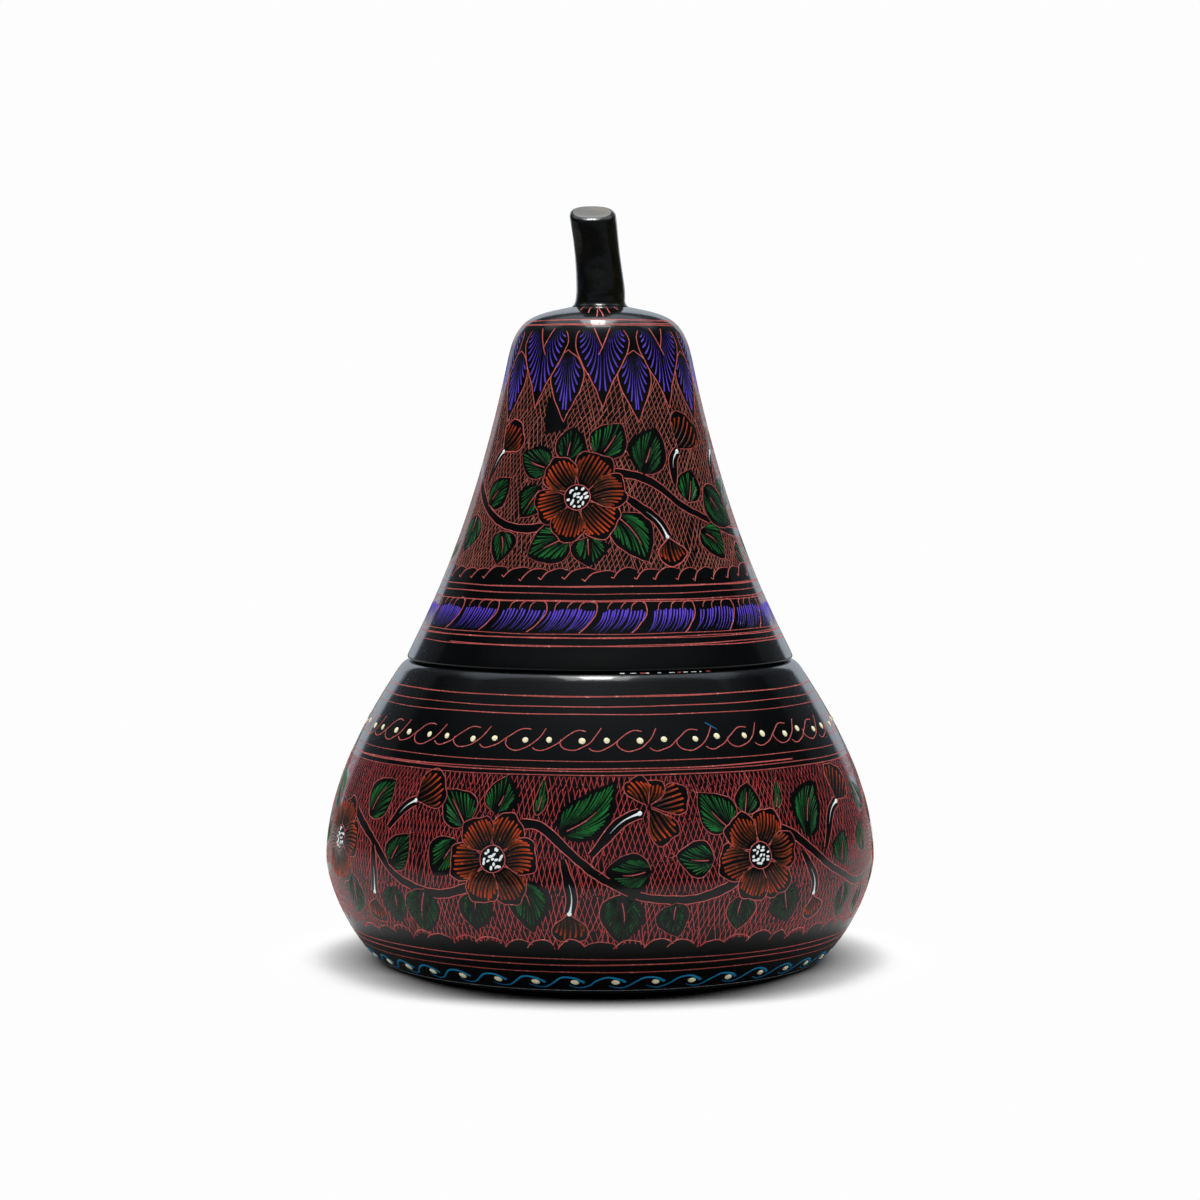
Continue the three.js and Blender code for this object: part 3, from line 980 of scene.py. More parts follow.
def leaf(canvas, base, tip, wide=None):
    style = leafStyle
    reach = canvas.span(base, tip)
    length = np.linalg.norm(reach)
    along, across = reach / length, np.array([-reach[1], reach[0]]) / length
    width = length * wide if wide else min(style["widest"], length * style["wide"] + 0.6)
    bow = vary(-0.13, 0.13) * length
    uneven, blunt = vary(-0.16, 0.16), vary(0.64, 0.86)

    def spot(t, side):
        # side is in millimetres off the midrib
        t = np.asarray(t, float)
        off = bow * np.sin(math.pi * np.clip(t, 0, 1)) + side
        return np.outer(t * length, along) + np.outer(off, across)

    def halfWidth(t, side):
        return width / 2 * (1 + side * uneven) * np.sin(math.pi * np.clip(t, 0, 1) ** blunt) ** 0.8

    t = np.linspace(0, 1, 15)
    past = np.linspace(0.4, 1, 3) * style["overrun"] * vary(0.2, 1)
    for side in (-1, 1):
        edge = np.vstack([spot(t, side * halfWidth(t, side)), spot(1 + past / length, -0.5 * side * past)])
        if dice.random() > style["unlined"]:
            thick = flowerStyle["line"] * vary(0.75, 1.1)
            tone = vary(0.2, 0.9, 3)
            canvas.etch("line", base, edge, [thick, thick, thick * 0.6], tone, shake=0.06)
    rib = np.linspace(vary(0.05, 0.25), vary(0.45, 0.75), 6)
    rib = spot(rib, np.sin(np.linspace(0, 2, 6)) * vary(-0.5, 0.5))
    canvas.etch("line", base, rib, [0.26, 0.32, 0.16], [0.9, 0.5])
    count, shade = max(4, int(round(length / style["gap"]))), vary(0.5, 1.25)
    deepening = style["deepening"]
    if base[1] < style["dullBelow"]:
        shade, deepening = shade * style["dull"], style["dullDeepening"]
    steps = np.linspace(0, 1, 6)
    for side in (-1, 1):
        margin = min(vary(*style["margin"]), 0.3 * width / 2)
        for t1 in np.linspace(0.2, 1 - 1.5 * margin / length, count) + vary(-0.015, 0.015, count):
            t0 = max(0.04, t1 - vary(*style["sweep"]))
            rimAt = max(0.3, halfWidth(t1, side) - margin - vary(0, 0.6))
            inner = min(0.3 + 0.22 * rimAt, rimAt)
            path = spot(t0 + (t1 - t0) * steps, side * (inner + (rimAt - inner) * steps**1.15))
            tone = np.clip((0.1 + 0.9 * steps**deepening) * shade * vary(0.5, 1.2), 0, 1)
            canvas.etch("green", base, path, swelling(style, steps, 0.8, 0.7) * vary(0.85, 1.1), tone)
    back = t[::-1]
    sides = [spot(t, halfWidth(t, 1)), spot(back, -halfWidth(back, -1))[1:]]
    canvas.cover(canvas.near(base, np.vstack(sides)))


def ribbon(canvas, path, width):
    # a stem: two cut lines with black between them
    steps = canvas.lengths(path)
    ahead = np.gradient(path, axis=0)
    ahead[:, 0] = np.radians(ahead[:, 0]) * canvas.radius(path[:, 1])
    across = unit(np.column_stack([-ahead[:, 1], ahead[:, 0]]))
    across *= spread(width, summed(steps) / steps.sum())[:, None] / 2
    across[:, 0] = np.degrees(across[:, 0] / canvas.radius(path[:, 1]))
    for side in (path - across, path + across):
        canvas.cut("line", side, flowerStyle["line"], [0.95, 0.7, 0.95], shake=0.05)
    canvas.cover(np.vstack([path - across, (path + across)[::-1]]))


def vine(canvas, marks):
    ribbon(canvas, canvas.marks(flowing(marks)), [2.3, 1.8, 2.3])


def filament(canvas, start, end):
    # a white thread that thickens to a drop, on a stalk that starts a little before it
    reach = canvas.span(start, end)
    bow = np.array([-reach[1], reach[0]]) * vary(0.06, 0.14)
    t = np.linspace(0, 1, 9)[:, None]
    path = canvas.near(start, t * reach + np.sin(math.pi * t) * bow)
    longer = np.linspace(-0.8, 1, 15)[:, None]
    bent = np.where(longer < 0, math.pi * longer, np.sin(math.pi * longer))
    stalk = canvas.near(start, longer * reach + bent * bow)
    canvas.cut("white", path, [0.1, 0.16, 0.22, 0.3, 0.4, 0.6, 0.85], [0.2, 0.7, 1], clipped=False)
    canvas.dot("white", path[-1], 1.05, vary(0.9, 1.2), vary(0, 90))
    ribbon(canvas, stalk, [1.5, 2.7, 2.6])


def singlePetal(canvas, base, tip, half, past, root, count):
    # the petal of a bud or of a flower seen from its side
    reach = canvas.span(base, tip)
    petal(canvas, base, bearing(reach), half, np.linalg.norm(reach) + past, root, count)


# What stands where on the bowl: azimuth and height of each motif's base and tip, by stretches
# that start at a flower. The three stretches in front are repeated round the back.

bowlStretches = [
    {
        "from": -68.5,
        "to": -21.5,
        "vines": [[(-62, 40.5), (-53, 34.5), (-46, 28), (-40, 25.1), (-33, 24), (-27, 26)]],
        "leaves": [
            ((-56, 39.8), (-50, 48.9)), ((-47, 29.5), (-42, 37.2)), ((-28, 40.1), (-34, 48)),
            ((-30, 36.9), (-35, 28.4)), ((-37, 24.8), (-39, 13.9)), ((-60, 25.5), (-62, 15.5)),
            ((-45, 24.5), (-46, 15.5)),
        ],
        "buds": [((-42, 44.8), (-36, 49.4)), ((-52, 21), (-53, 15.9))],
        "filaments": [((-46, 41.6), (-42, 44.9)), ((-52, 28.4), (-52, 22.3))],
    },
    {
        "from": -21.5,
        "to": 33.5,
        "vines": [[
            (-16, 41.3), (-12.5, 41), (-9, 38.2), (-4, 33), (0, 29.5), (6, 25.7), (12, 24.1), (19, 24),
            (25, 26), (29, 28.5),
        ]],
        "leaves": [
            ((-22, 43.4), (-20, 51.9)), ((-25, 25.5), (-26, 16)), ((-16, 28.4), (-14, 16.3)),
            ((-8, 39.1), (3, 50.8)), ((4, 25.5), (4, 13.5)), ((10, 31), (1, 30.9)),
            ((23, 32.9), (15, 34.1)), ((27, 39.4), (21, 48)), ((15, 23.2), (16, 14.7)),
        ],
        "slips": [((-13, 43.3), (-12, 51.3))],
        "buds": [((-6, 21.1), (-6, 14.8))],
        "filaments": [((-6, 27.8), (-6, 20.8)), ((2, 39.4), (8, 43.8))],
        "halfFlower": ((10, 45.2), [(7, 51.2), (12, 50.6), (18, 47.7), (14, 37.8)]),
    },
    {
        "from": 33.5,
        "to": 85,
        "vines": [[
            (38.5, 39), (42.5, 37.2), (47, 33.5), (53, 28.7), (59, 25.5), (66, 23), (75, 25), (79, 27.5),
        ]],
        "leaves": [
            ((31, 42.6), (33, 49.7)), ((47, 36), (53, 48.5)), ((58, 28.1), (60, 36.1)),
            ((69, 29.5), (70, 37.7)), ((29, 24.2), (29, 15.7)), ((39, 25.7), (42, 16.4)),
            ((59, 23.5), (60, 14.8)), ((69, 21.5), (71, 13.8)), ((76, 39.5), (71, 47.5)),
        ],
        "slips": [((39, 42.7), (41, 49.8))],
        "buds": [((60, 43), (65, 49.7)), ((48, 22.1), (49, 17.4))],
        "filaments": [((55, 38.2), (60, 42.9)), ((47, 28.5), (48, 22.6))],
    },
]
bowlBack = {"pattern": (1, 2, 1, 0), "from": 85, "to": 291.5}
bowlFlowers = {
    "height": 33,
    "petals": [(123, 11.2), (63, 11.4), (4, 11.2), (-58, 11.5), (-113, 10.9), (-175, 11.2)],
}


def moved(item, shift):
    # applies a shift to every mark in a nest of lists
    if isinstance(item, (int, float)):
        return item
    if isinstance(item[0], (int, float)):
        return shift(item)
    return [moved(part, shift) for part in item]


def stretchAt(stretch, start, end):
    # a stretch laid out again between two other flowers, by hand and so never quite the same
    ratio = (end - start) / (stretch["to"] - stretch["from"])

    def shift(mark):
        x = start + (mark[0] - stretch["from"]) * ratio
        return (x + vary(-0.6, 0.6), mark[1] + vary(-0.5, 0.5))

    copy = {key: moved(value, shift) for key, value in stretch.items() if isinstance(value, (list, tuple))}
    return dict(copy, **{"from": start, "to": end})


def bowlGarden():
    stretches = list(bowlStretches)
    marks = np.linspace(bowlBack["from"], bowlBack["to"], len(bowlBack["pattern"]) + 1)
    for kind, start, end in zip(bowlBack["pattern"], marks, marks[1:]):
        stretches.append(stretchAt(bowlStretches[kind], start, end))
    for stretch in stretches:
        twist = vary(-5, 5)
        petals = [(d + twist, r + vary(-0.3, 0.3)) for d, r in bowlFlowers["petals"]]
        flower(bowlCanvas, (stretch["from"], bowlFlowers["height"]), petals)
    for stretch in stretches:
        drawStretch(bowlCanvas, stretch)


def drawStretch(canvas, stretch):
    if "halfFlower" in stretch:
        centre, tips = stretch["halfFlower"]
        for tip in tips:
            singlePetal(canvas, centre, tip, half=34, past=0.6, root=0.8, count=8)
    for base, tip in stretch["buds"]:
        singlePetal(canvas, base, tip, half=50, past=1.2, root=0.6, count=9)
    for start, end in stretch["filaments"]:
        filament(canvas, start, end)
    for base, tip, *wide in stretch["leaves"]:
        leaf(canvas, base, tip, *wide)
    for base, tip in stretch.get("slips", ()):
        leaf(canvas, base, tip, leafStyle["slipWide"])
    for marks in stretch["vines"]:
        vine(canvas, marks)


# Rings, scrolls and scallops


def ring(canvas, height, width=0.3, tone=0.8, twice=False, lac="line"):
    # the turner's line: it wanders a little and its ends miss each other
    start = vary(100, 260)
    for again in range(2 if twice else 1):
        sweep = vary(120, 220) if again else 366
        first = vary(-120, -20) if again else start
        azimuth = np.linspace(first, first + sweep, int(sweep / 2))
        drift = vary(-0.3, 0.3) + 0.4 * again
        rise = drift * (azimuth - first) / sweep
        for size, waves in ((0.09, 3), (0.05, 11)):
            rise += size * np.sin(np.radians(azimuth * waves + vary(0, 360)))
        path = np.column_stack([azimuth, canvas.up(height) + rise])
        waver = width * vary(0.6, 1.3, 9)
        canvas.cut(lac, path, waver, tone * vary(0.5, 1.1, 13), clipped=False)


def spaced(count, height, slip, climb, start=0.0):
    # even places round the box, each a little off
    for k in range(count):
        yield start + 360 * (k + vary(-slip, slip)) / count, height + vary(-climb, climb)


bowlBands = {
    "rings": (69.8, 67.5, 65.8, 55.5, 53.4, 52.3, 9.4, 7.9, 6.1),
    "twice": (69.8, 53.4, 7.9),  # the rings that the turner went over again
    # height of a painted highlight: a thin grey-white line for the gleam on the foot's rounded edge
    "paintedFootGleam": 1.0,
    "lipHeight": 78.7,
    "paintedLipGlints": (6, 34, 2.6),  # a cut line on the lip, drawn only where the lamp's gleam crosses it, in bits partly of white lac as painted highlight: first, last and pitch in degrees
    "paintedLipGlint": (0.6, 1.8),  # length of one of its bits in degrees
    "stray": [(26.0, 63.6), (28.8, 61.9)],  # a slip of the blue brush
    "scrollHeight": 57.5,
    "scrollCount": 27,
    "scrollStart": -2.0,
    "scroll": [
        [(0, 0.6), (0.8, 0), (2.3, -0.1), (4.6, 0.8), (6.6, 2.4), (8.7, 4.3), (10.5, 5.1), (12.2, 4.8)],
        [(6.6, 2.4), (6.5, 1.3), (7.7, 0.1), (9.7, -0.3), (12, 0.5), (13.8, 2), (14.8, 3.6), (15.6, 5.4)],
    ],
    "scrollDots": [(3.6, 3.1), (11.4, 2.8)],
    "scallopHeight": 13.6,
    "scallops": 62,
    "scallop": [(-3.3, -1.3), (-2.9, -0.7), (-1.7, 0.4), (0.2, 0.9), (2.0, 0.5), (3.2, -0.5)],
    "waveHeight": 3.2,
    "waves": 39,
    "wave": [
        (-7.4, -1.0), (-6.2, -1.8), (-4.6, -2.1), (-2.9, -1.4), (-1.2, 0.3), (0.5, 1.6), (2.4, 1.9),
        (4.3, 1.2), (5.7, 0.1),
    ],
    "waveDot": (3.5, 0.1),
}


def bowlTrim():
    b, canvas = bowlBands, bowlCanvas
    for height in b["rings"]:
        ring(canvas, height, twice=height in b["twice"])
    # painted highlight: a faint white ring stands in for the gleam on the foot's edge
    ring(canvas, b["paintedFootGleam"], 0.26, 0.15, lac="white")
    # painted highlight: the lip's cut line shown as pink and white bits only where the lamp's gleam crosses
    # it
    for azimuth in np.arange(*b["paintedLipGlints"]):
        first, low = azimuth + vary(-1, 1), b["lipHeight"] + vary(-0.15, 0.15)
        bit = canvas.marks([(first, low), (first + vary(*b["paintedLipGlint"]), low)])
        canvas.cut(dice.choice(["line", "white"]), bit, vary(0.14, 0.28), 0.7, clipped=False)
    canvas.cut("blue", canvas.marks(b["stray"]), [0.3, 0.4, 0.15], 0.4, clipped=False)
    count, start = b["scrollCount"], b["scrollStart"]
    for part in b["scroll"]:
        for centre in spaced(count, b["scrollHeight"] + 0.4, 0.05, 0.2, start):
            canvas.trim("line", centre, flowing(part), 0.29, 0.85, 0.05)
    for k in range(count):
        for spot in b["scrollDots"]:
            centre = (start + 360 * k / count, b["scrollHeight"] + vary(-0.3, 0.3))
            size, tilt = vary(1.45, 1.75), vary(0, 90)
            canvas.dot("cream", canvas.near(centre, [spot])[0], size, 0.92, tilt)
    for centre in spaced(b["scallops"], b["scallopHeight"], 0.15, 0.6):
        arc = flowing(b["scallop"]) * (vary(0.8, 1.2), vary(0.6, 1.3))
        tone = vary(0.5, 1)
        canvas.trim("line", centre, arc, [0.26, 0.36, 0.34, 0.24], tone, 0.06)
        under = canvas.near(centre, arc) - (0, vary(0, 1.4))
        canvas.cover(np.vstack([under, canvas.near(centre, [(3.2, -6), (-3.6, -6)])]))
    for centre in spaced(b["waves"], b["waveHeight"], 0.03, 0.1):
        widths = [0.35, 0.6, 0.6, 0.7, 1.0]
        canvas.trim("blue", centre, flowing(b["wave"]), widths, [0.6, 1, 1], 0.06)
        size, tilt = vary(1.6, 1.9), vary(-33, -15)
        canvas.dot("cream", canvas.near(centre, [b["waveDot"]])[0], size, 1.25, tilt)


lidBands = {
    "rings": (158.9, 157.7, 94.8, 93.2, 91.5, 83.8, 82.8, 81.1),
    "once": (93.2, 83.8),  # the other rings were gone over again
    "scallopHeight": 98.3,
    "scallops": 44,
    "scallop": [(-3.5, -1.7), (-3.0, -2.3), (-2.5, -1.4), (-1.5, -0.1), (0.1, 0.8), (2.0, 1.0), (3.6, 0.5)],
    "scallopHook": 24,  # points of its curve, on the hook before the arc
    "tickTo": 0.6,  # back along the crown from the stem's seat
    # azimuth at the seat, azimuth at the other end and length
    "ticks": [
        (-28, -22, 4.4), (-14, -10.6, 7.2), (-2.4, -2.6, 9.5), (-2.4, 2.8, 9.4), (9.6, 8.9, 7.3),
        (24, 20.7, 4.2),
    ],
    "brushes": 21,  # groups of purple strokes
    "brushTop": 90.2,
    "brushBottom": 84.5,
    "brushMiddle": 87,  # where a group's width is measured
    "brushApart": 2.6,  # black between two groups
    "brushWidths": (0.14, 0.2, 0.26, 0.34, 0.56, 0.46),
}


def lidTrim():
    b, canvas = lidBands, lidCanvas
    for height in b["rings"]:
        ring(canvas, height, twice=height not in b["once"])
    crown = canvas.along[-1] - b["tickTo"]
    for side in (0, 180):
        for near, far, length in b["ticks"]:
            path = np.array([(side + far, crown - length), (side + near, crown)])
            canvas.cut("line", path, [0.4, 0.26], [1, 0.7], clipped=False, shake=0.04)
    for centre in spaced(b["scallops"], b["scallopHeight"], 0.12, 0.4):
        arc = flowing(b["scallop"]) * (vary(0.85, 1.15), vary(0.8, 1.1))
        widths = [0.34, 0.36, 0.28, 0.2]
        canvas.trim("line", centre, arc, widths, [1, 0.7, 0.5], 0.06)
        canvas.cover(canvas.near(centre, np.vstack([arc[b["scallopHook"] :], [(3.8, -5), (-2.8, -5)]])))
    for k in range(b["brushes"]):
        brush(canvas, 360 * k / b["brushes"], 360 / b["brushes"])


def brush(canvas, azimuth, pitch):
    # one group of purple strokes, with its curved bracket and short ticks above
    b, origin, steps = lidBands, (azimuth, lidBands["brushBottom"]), np.linspace(0, 1, 6)
    width = math.radians(pitch) * canvas.radius(canvas.up(b["brushMiddle"]))
    width += vary(-0.5, 0.5) - b["brushApart"]
    rise = canvas.up(b["brushTop"]) - canvas.up(b["brushBottom"])
    lean, count = vary(1.6, 3.2), int(dice.integers(12, 16))
    for share in np.linspace(0, 1, count):
        x = 0.8 + width * share + vary(-0.16, 0.16)
        top = rise - 1.5 + 0.9 * math.sin(math.pi * (0.15 + 0.7 * share)) + vary(-0.35, 0.2)
        low = vary(-0.5, 0.8)
        x = x + lean * (steps**0.75 - 1) + 0.4 * np.sin(steps * math.pi)
        path = np.column_stack([x, low + (top - low) * steps])
        widths = np.array(b["brushWidths"]) * vary(0.85, 1.1)
        canvas.trim("purple", origin, path, widths, [0.2, 0.5, 0.8, 1])
    bracket = [(-1.6, rise + 1.4), (0, rise + 1.0), (0.5, rise - 1.6), (-1.2, 1.6), (-3.2, -0.4)]
    bracket = flowing(np.add(bracket, (width + 0.9, 0)))
    canvas.trim("line", origin, bracket, [0.36, 0.3], 0.9, 0.06)
    for share in (0.12, 0.4, 0.7):
        x = 0.5 + width * share + vary(-0.6, 0.6)
        tick = [(x + 1.2, rise + 1.2), (x + 0.3, rise + 0.5), (x, rise - vary(0.4, 1.4))]
        canvas.trim("line", origin, flowing(tick), [0.34, 0.2], 0.8)


# Purple petals that hang from the lid's shoulder

collar = {
    "count": 9,
    "start": 1.0,
    "top": 157.0,
    "tip": 137.5,
    "half": 6.6,
    "strokes": 9,
    "openFrom": 24,  # points of the outline's curve before its drawn part
    "notch": [(1.9, -0.2), (1.0, -2.8), (-0.1, -5.6), (-0.9, -7.2)],
    "underTop": 151.5,
    "underTip": 134.0,
    "underHalf": 4.3,
    "underStrokes": 6,
    "blob": 0.58,  # widths of a stroke's end and start
    "thread": 0.12,
    # black ground left plain: its middle, and its outline in millimetres round it
    "plain": ((-22.5, 137), [(-0.5, 7.5), (3.6, 1), (1.5, -5), (-3.2, -6), (-3.6, 1)]),
}


def hangingPetals():
    c, canvas = collar, lidCanvas
    pitch = 360 / c["count"]
    drop = canvas.up(c["top"]) - canvas.up(c["tip"])
    left = [(0, -0.4), (-2.2, 0.3), (-5.4, -0.9), (-c["half"], -4.6), (-4.9, -9.5), (-2.3, -14.5)]
    left = flowing([*left, (0, -drop)])
    right = left * (-1, 1)
    margin = bezier([(5.5, -2.6), (5.6, -7.6), (0.9, -16.2)], c["strokes"])
    tops = bezier([(4.7, -0.6), (2.4, -0.3), (0.6, -4.6)], c["strokes"])
    for k in range(c["count"]):
        centre = (c["start"] + k * pitch + vary(-1, 1), c["top"])
        for half in (left, right):
            canvas.etch("line", centre, half[c["openFrom"] :], [0.24, 0.34, 0.36, 0.24], 0.9, shake=0.06)
        for side in (-1, 1):
            notch = flowing(np.multiply(c["notch"], (side, 1))[: 3 if dice.random() < 0.5 else 4])
            canvas.etch("line", centre, notch, [0.34, 0.3], 0.9)
            for start, end in zip(tops, margin):
                sway = (start[0] - 0.35 - 0.1 * end[0], start[1] + (end[1] - start[1]) * 0.55)
                path = bezier([start, sway, end + vary(-0.15, 0.15, 2)], 7) * (side, 1)
                thick = c["blob"] * vary(0.85, 1.05)
                widths = [c["thread"], 0.15, 0.19, 0.23, 0.3, thick, thick * 0.75]
                canvas.etch("purple", centre, path, widths, [0, 0.2, 0.45, 0.7, 1])
        canvas.cover(canvas.near(centre, np.vstack([left, right[::-1]])))
    drop = canvas.up(c["underTop"]) - canvas.up(c["underTip"])
    half, count = c["underHalf"], c["underStrokes"]
    left = flowing([(0, 0), (-half * 0.7, -2.5), (-half, -6.5), (-half * 0.75, -11), (0, -drop)])
    right = left * (-1, 1)
    margin = bezier([(half - 1.1, -4.6), (half - 0.8, -9.5), (0.3, -drop + 3.2)], count)
    for k in range(c["count"]):
        centre = (c["start"] + (k + 0.5) * pitch + vary(-1, 1), c["underTop"])
        for edge in (left, right):
            canvas.etch("line", centre, edge, [0.24, 0.34, 0.24], 0.9, shake=0.06)
        for side in (-1, 1):
            for i, end in enumerate(margin):
                start = (0.3 * (count - i), -1.0 - 0.2 * i)
                sway = (start[0] * 0.7, (start[1] + end[1]) * 0.5)
                path = bezier([start, sway, end + vary(-0.12, 0.12, 2)], 7) * (side, 1)
                widths = [0.08, 0.12, 0.16, 0.24, 0.5, 0.38]
                canvas.etch("purple", centre, path, widths, [0, 0.2, 0.6, 1])
        canvas.cover(canvas.near(centre, np.vstack([left, right[::-1]])))
    canvas.cover(canvas.near(*c["plain"]))


# The lid's garden: one flower in front and two round the back, joined by vines

lidStretch = {
    "from": -10,
    "to": 112,
    "vines": [
        [(-79, 122.7), (-64, 115.8), (-50, 110.8), (-35, 108.4), (-20, 109.2)],
        [(1, 122.2), (16, 121.2), (27, 118.6), (38, 113.8), (49, 111.0), (64, 107.6), (80, 106.6)],
    ],
    "leaves": [
        ((-17, 124.8), (-14, 133)), ((-1, 125.3), (11, 133.6)), ((21, 121.3), (30, 132.6)),
        ((-24, 122.5), (-41, 126)), ((-57, 113.7), (-46, 120.5)), ((-27, 118.6), (-35, 111)),
        ((-44, 107.8), (-42, 99.6)), ((-12, 106.3), (-29, 101.8)),
        ((-5, 106.6), (-4, 99.6), 1.25), ((6, 111.9), (19, 100.7)), ((42, 114.5), (48, 122.5)),
        ((54, 118.2), (73, 108.9)), ((45, 107.9), (56, 100.8)), ((-65, 111.5), (-67, 102)),
        ((-78, 106), (-86, 99.5)), ((66, 103.5), (74, 99.8)),
    ],
    "buds": [((-57, 126.8), (-47, 132.3)), ((42, 127.4), (54, 134.1)), ((28, 106.5), (29, 100.8))],
    "filaments": [((-61, 122.8), (-56, 126.8)), ((37, 123), (41, 126.9)), ((20, 112.5), (28, 106.5))],
}
lidBack = [
    {"flower": 118, "from": 62, "to": 172},
    {"flower": 228, "from": 176, "to": 278},
]
lidBackVines = [  # the first is cut with both flowers of the back
    [(80, 106.6), (95, 106.3), (108, 108.4)],
    [(130, 121.4), (144, 121.8), (155, 119), (166, 114.5), (177, 110), (195, 106.5), (213, 107)],
    [(240, 121.6), (255, 124), (268, 125), (281, 122.7)],
]
lidFlower = {
    "height": 116,
    "petals": [(128, 11.2), (62, 12.1), (11, 12.1), (-44, 12.5), (-105, 11.3), (-162, 11)],
}


def lidGarden():
    canvas, front = lidCanvas, lidStretch
    stretches = [front]
    for back in lidBack:
        shift = back["flower"] - front["from"]
        low, high = (back[end] - back["flower"] + front["from"] for end in ("from", "to"))
        copy = {"from": 0, "to": 1}
        for name in ("leaves", "buds", "filaments"):
            ends = [sorted((spots[0][0], spots[1][0])) for spots in front[name]]
            copy[name] = [s for s, (a, b) in zip(front[name], ends) if low < a and b < high]
        stretches.append(dict(stretchAt(copy, shift, shift + 1), vines=lidBackVines[:1]))
        stretches[-1]["from"] = back["flower"]
    for stretch in stretches:
        petals = [(d + vary(-4, 4), r + vary(-0.3, 0.3)) for d, r in lidFlower["petals"]]
        if stretch is front:
            petals = lidFlower["petals"]
        flower(canvas, (stretch["from"], lidFlower["height"]), petals)
    for stretch in stretches:
        drawStretch(canvas, stretch)
    for marks in lidBackVines[1:]:
        vine(canvas, marks)


# The hatched ground: two families of short strokes whose lean drifts over the wood

hatching = {
    "row": 8.5,
    "patch": (9, 20),  # degrees that are cut in one go
    "missed": 0.02,  # share of strokes left out
    "step": 2.0,
}
bowlHatch = {
    "from": 12.0,
    "to": 52.0,
    "width": 0.22,
    "gap": (1.16, 1.42),
    "leans": (19, -14),
    "sway": 7,
    "paintedBounce": 0.4,  # painted light: brighter towards its foot, for the table's bounce
}
lidHatch = {
    "from": 97.6,
    "to": 150.5,
    "width": 0.21,
    "gap": (1.1, 1.36),
    "leans": (34, -14),
    "sway": 6,
    "paintedBounce": 0.0,
}


def hatch(canvas, style):
    # patch by patch: even parallel strokes, with a lean that changes a little from patch to patch
    h = hatching
    low, high = canvas.up(style["from"]), canvas.up(style["to"])
    for lean in style["leans"]:
        row = low - vary(0.2, 0.8) * h["row"]
        while row < high:
            top = row + h["row"] * vary(0.85, 1.15)
            middle = (row + top) / 2
            perMm = math.degrees(1 / float(canvas.radius(middle)))
            azimuth = 0.0
            while azimuth < 360:
                patch = min(vary(*h["patch"]), 360 - azimuth)
                tilt = math.tan(math.radians(lean + vary(-style["sway"], style["sway"])))
                for place in np.arange(0, patch, vary(*style["gap"]) * perMm):
                    if dice.random() < h["missed"]:
                        continue
                    ends = np.clip([row, middle, top] + vary(-0.5, 0.5, 3) * (1, 0, 1), low, high)
                    shift = (ends - middle) * tilt + vary(-0.06, 0.06, 3)
                    aside = azimuth + place + np.degrees(shift / canvas.radius(ends))
                    path = np.column_stack([aside, ends])
                    width = style["width"] * vary(0.8, 1.12)
                    # painted light: lower strokes are brightened as if lit by the table's bounce
                    tone = vary(0.25, 0.95, 3) + style["paintedBounce"] * (high - row) / (high - low)
                    canvas.cut("hatch", path, width, tone.clip(0, 1), step=h["step"])
                azimuth += patch
            row = top


bowlTrim()
bowlGarden()
hatch(bowlCanvas, bowlHatch)
layLac(bowlCanvas)
lidTrim()
hangingPetals()
lidGarden()
hatch(lidCanvas, lidHatch)
layLac(lidCanvas)
say("etching laid")


# Stage and light: a pale table and backdrop, a soft lamp overhead and the dark of the room

stage = {
    "floor": 30.0,  # metres across
    "albedo": 0.85,
    "shadeReach": 0.026,  # metres in which the box's painted shade (ambient occlusion) reaches over the table
    "front": (-0.06, -0.03),  # metres, where the painted shade of the crack under the belly turns darker
    "darkBelow": (0.12, 0.46),  # share of open sky that is still black in the painted shade, at the sides and in front
    "clearAbove": (0.7, 0.79),
    "fade": (0.03, 0.085),  # metres from the axis in which the table fades into the backdrop
    "tableEdge": -0.33,  # metres, the table's front edge as the lac mirrors it
    "white": 0.985,
    "ambient": 0.3,
    "mirrored": 0.42,  # share of the table's brightness that the lac shows
    "cool": (0.9, 0.99, 1.1, 1),  # tint of what the lac mirrors
    "roomGlow": 0.012,
    "lampAim": 0.08,  # metres over the table, where the lamps point
}
# What the lac mirrors of the room. The ramps of a part are multiplied: each runs along an axis
# of the direction, from one glow to another, between two values of that axis.
room = {
    "belowTop": [("Z", 1, 0, 0.6, 0.78)],
    "backdrop": [("Y", 0.95, 0.4, 0.86, 1), ("Y", 0, 1, 0.82, 0.86)],
    "sides": [("Y", stage["roomGlow"], 0.075, 0.43, 0.48)],
    "ceiling": [("Z", 0, 0.24, 0.55, 0.95)],
    "top": [("Z", 0, 0.78, 0.68, 0.78), ("Y", 0, 1, 0, 0.1)],
    "blind": [("Z", 0, 0.16, 0.06, 0.14), ("Z", 1, 0, 0.3, 0.5), ("Y", 1, 0, -0.6, -0.4)],
}


def seenDirectly(tree, rays):
    return calc(tree, "ADD", rays["Is Camera Ray"], rays["Is Transmission Ray"], clamp=True)


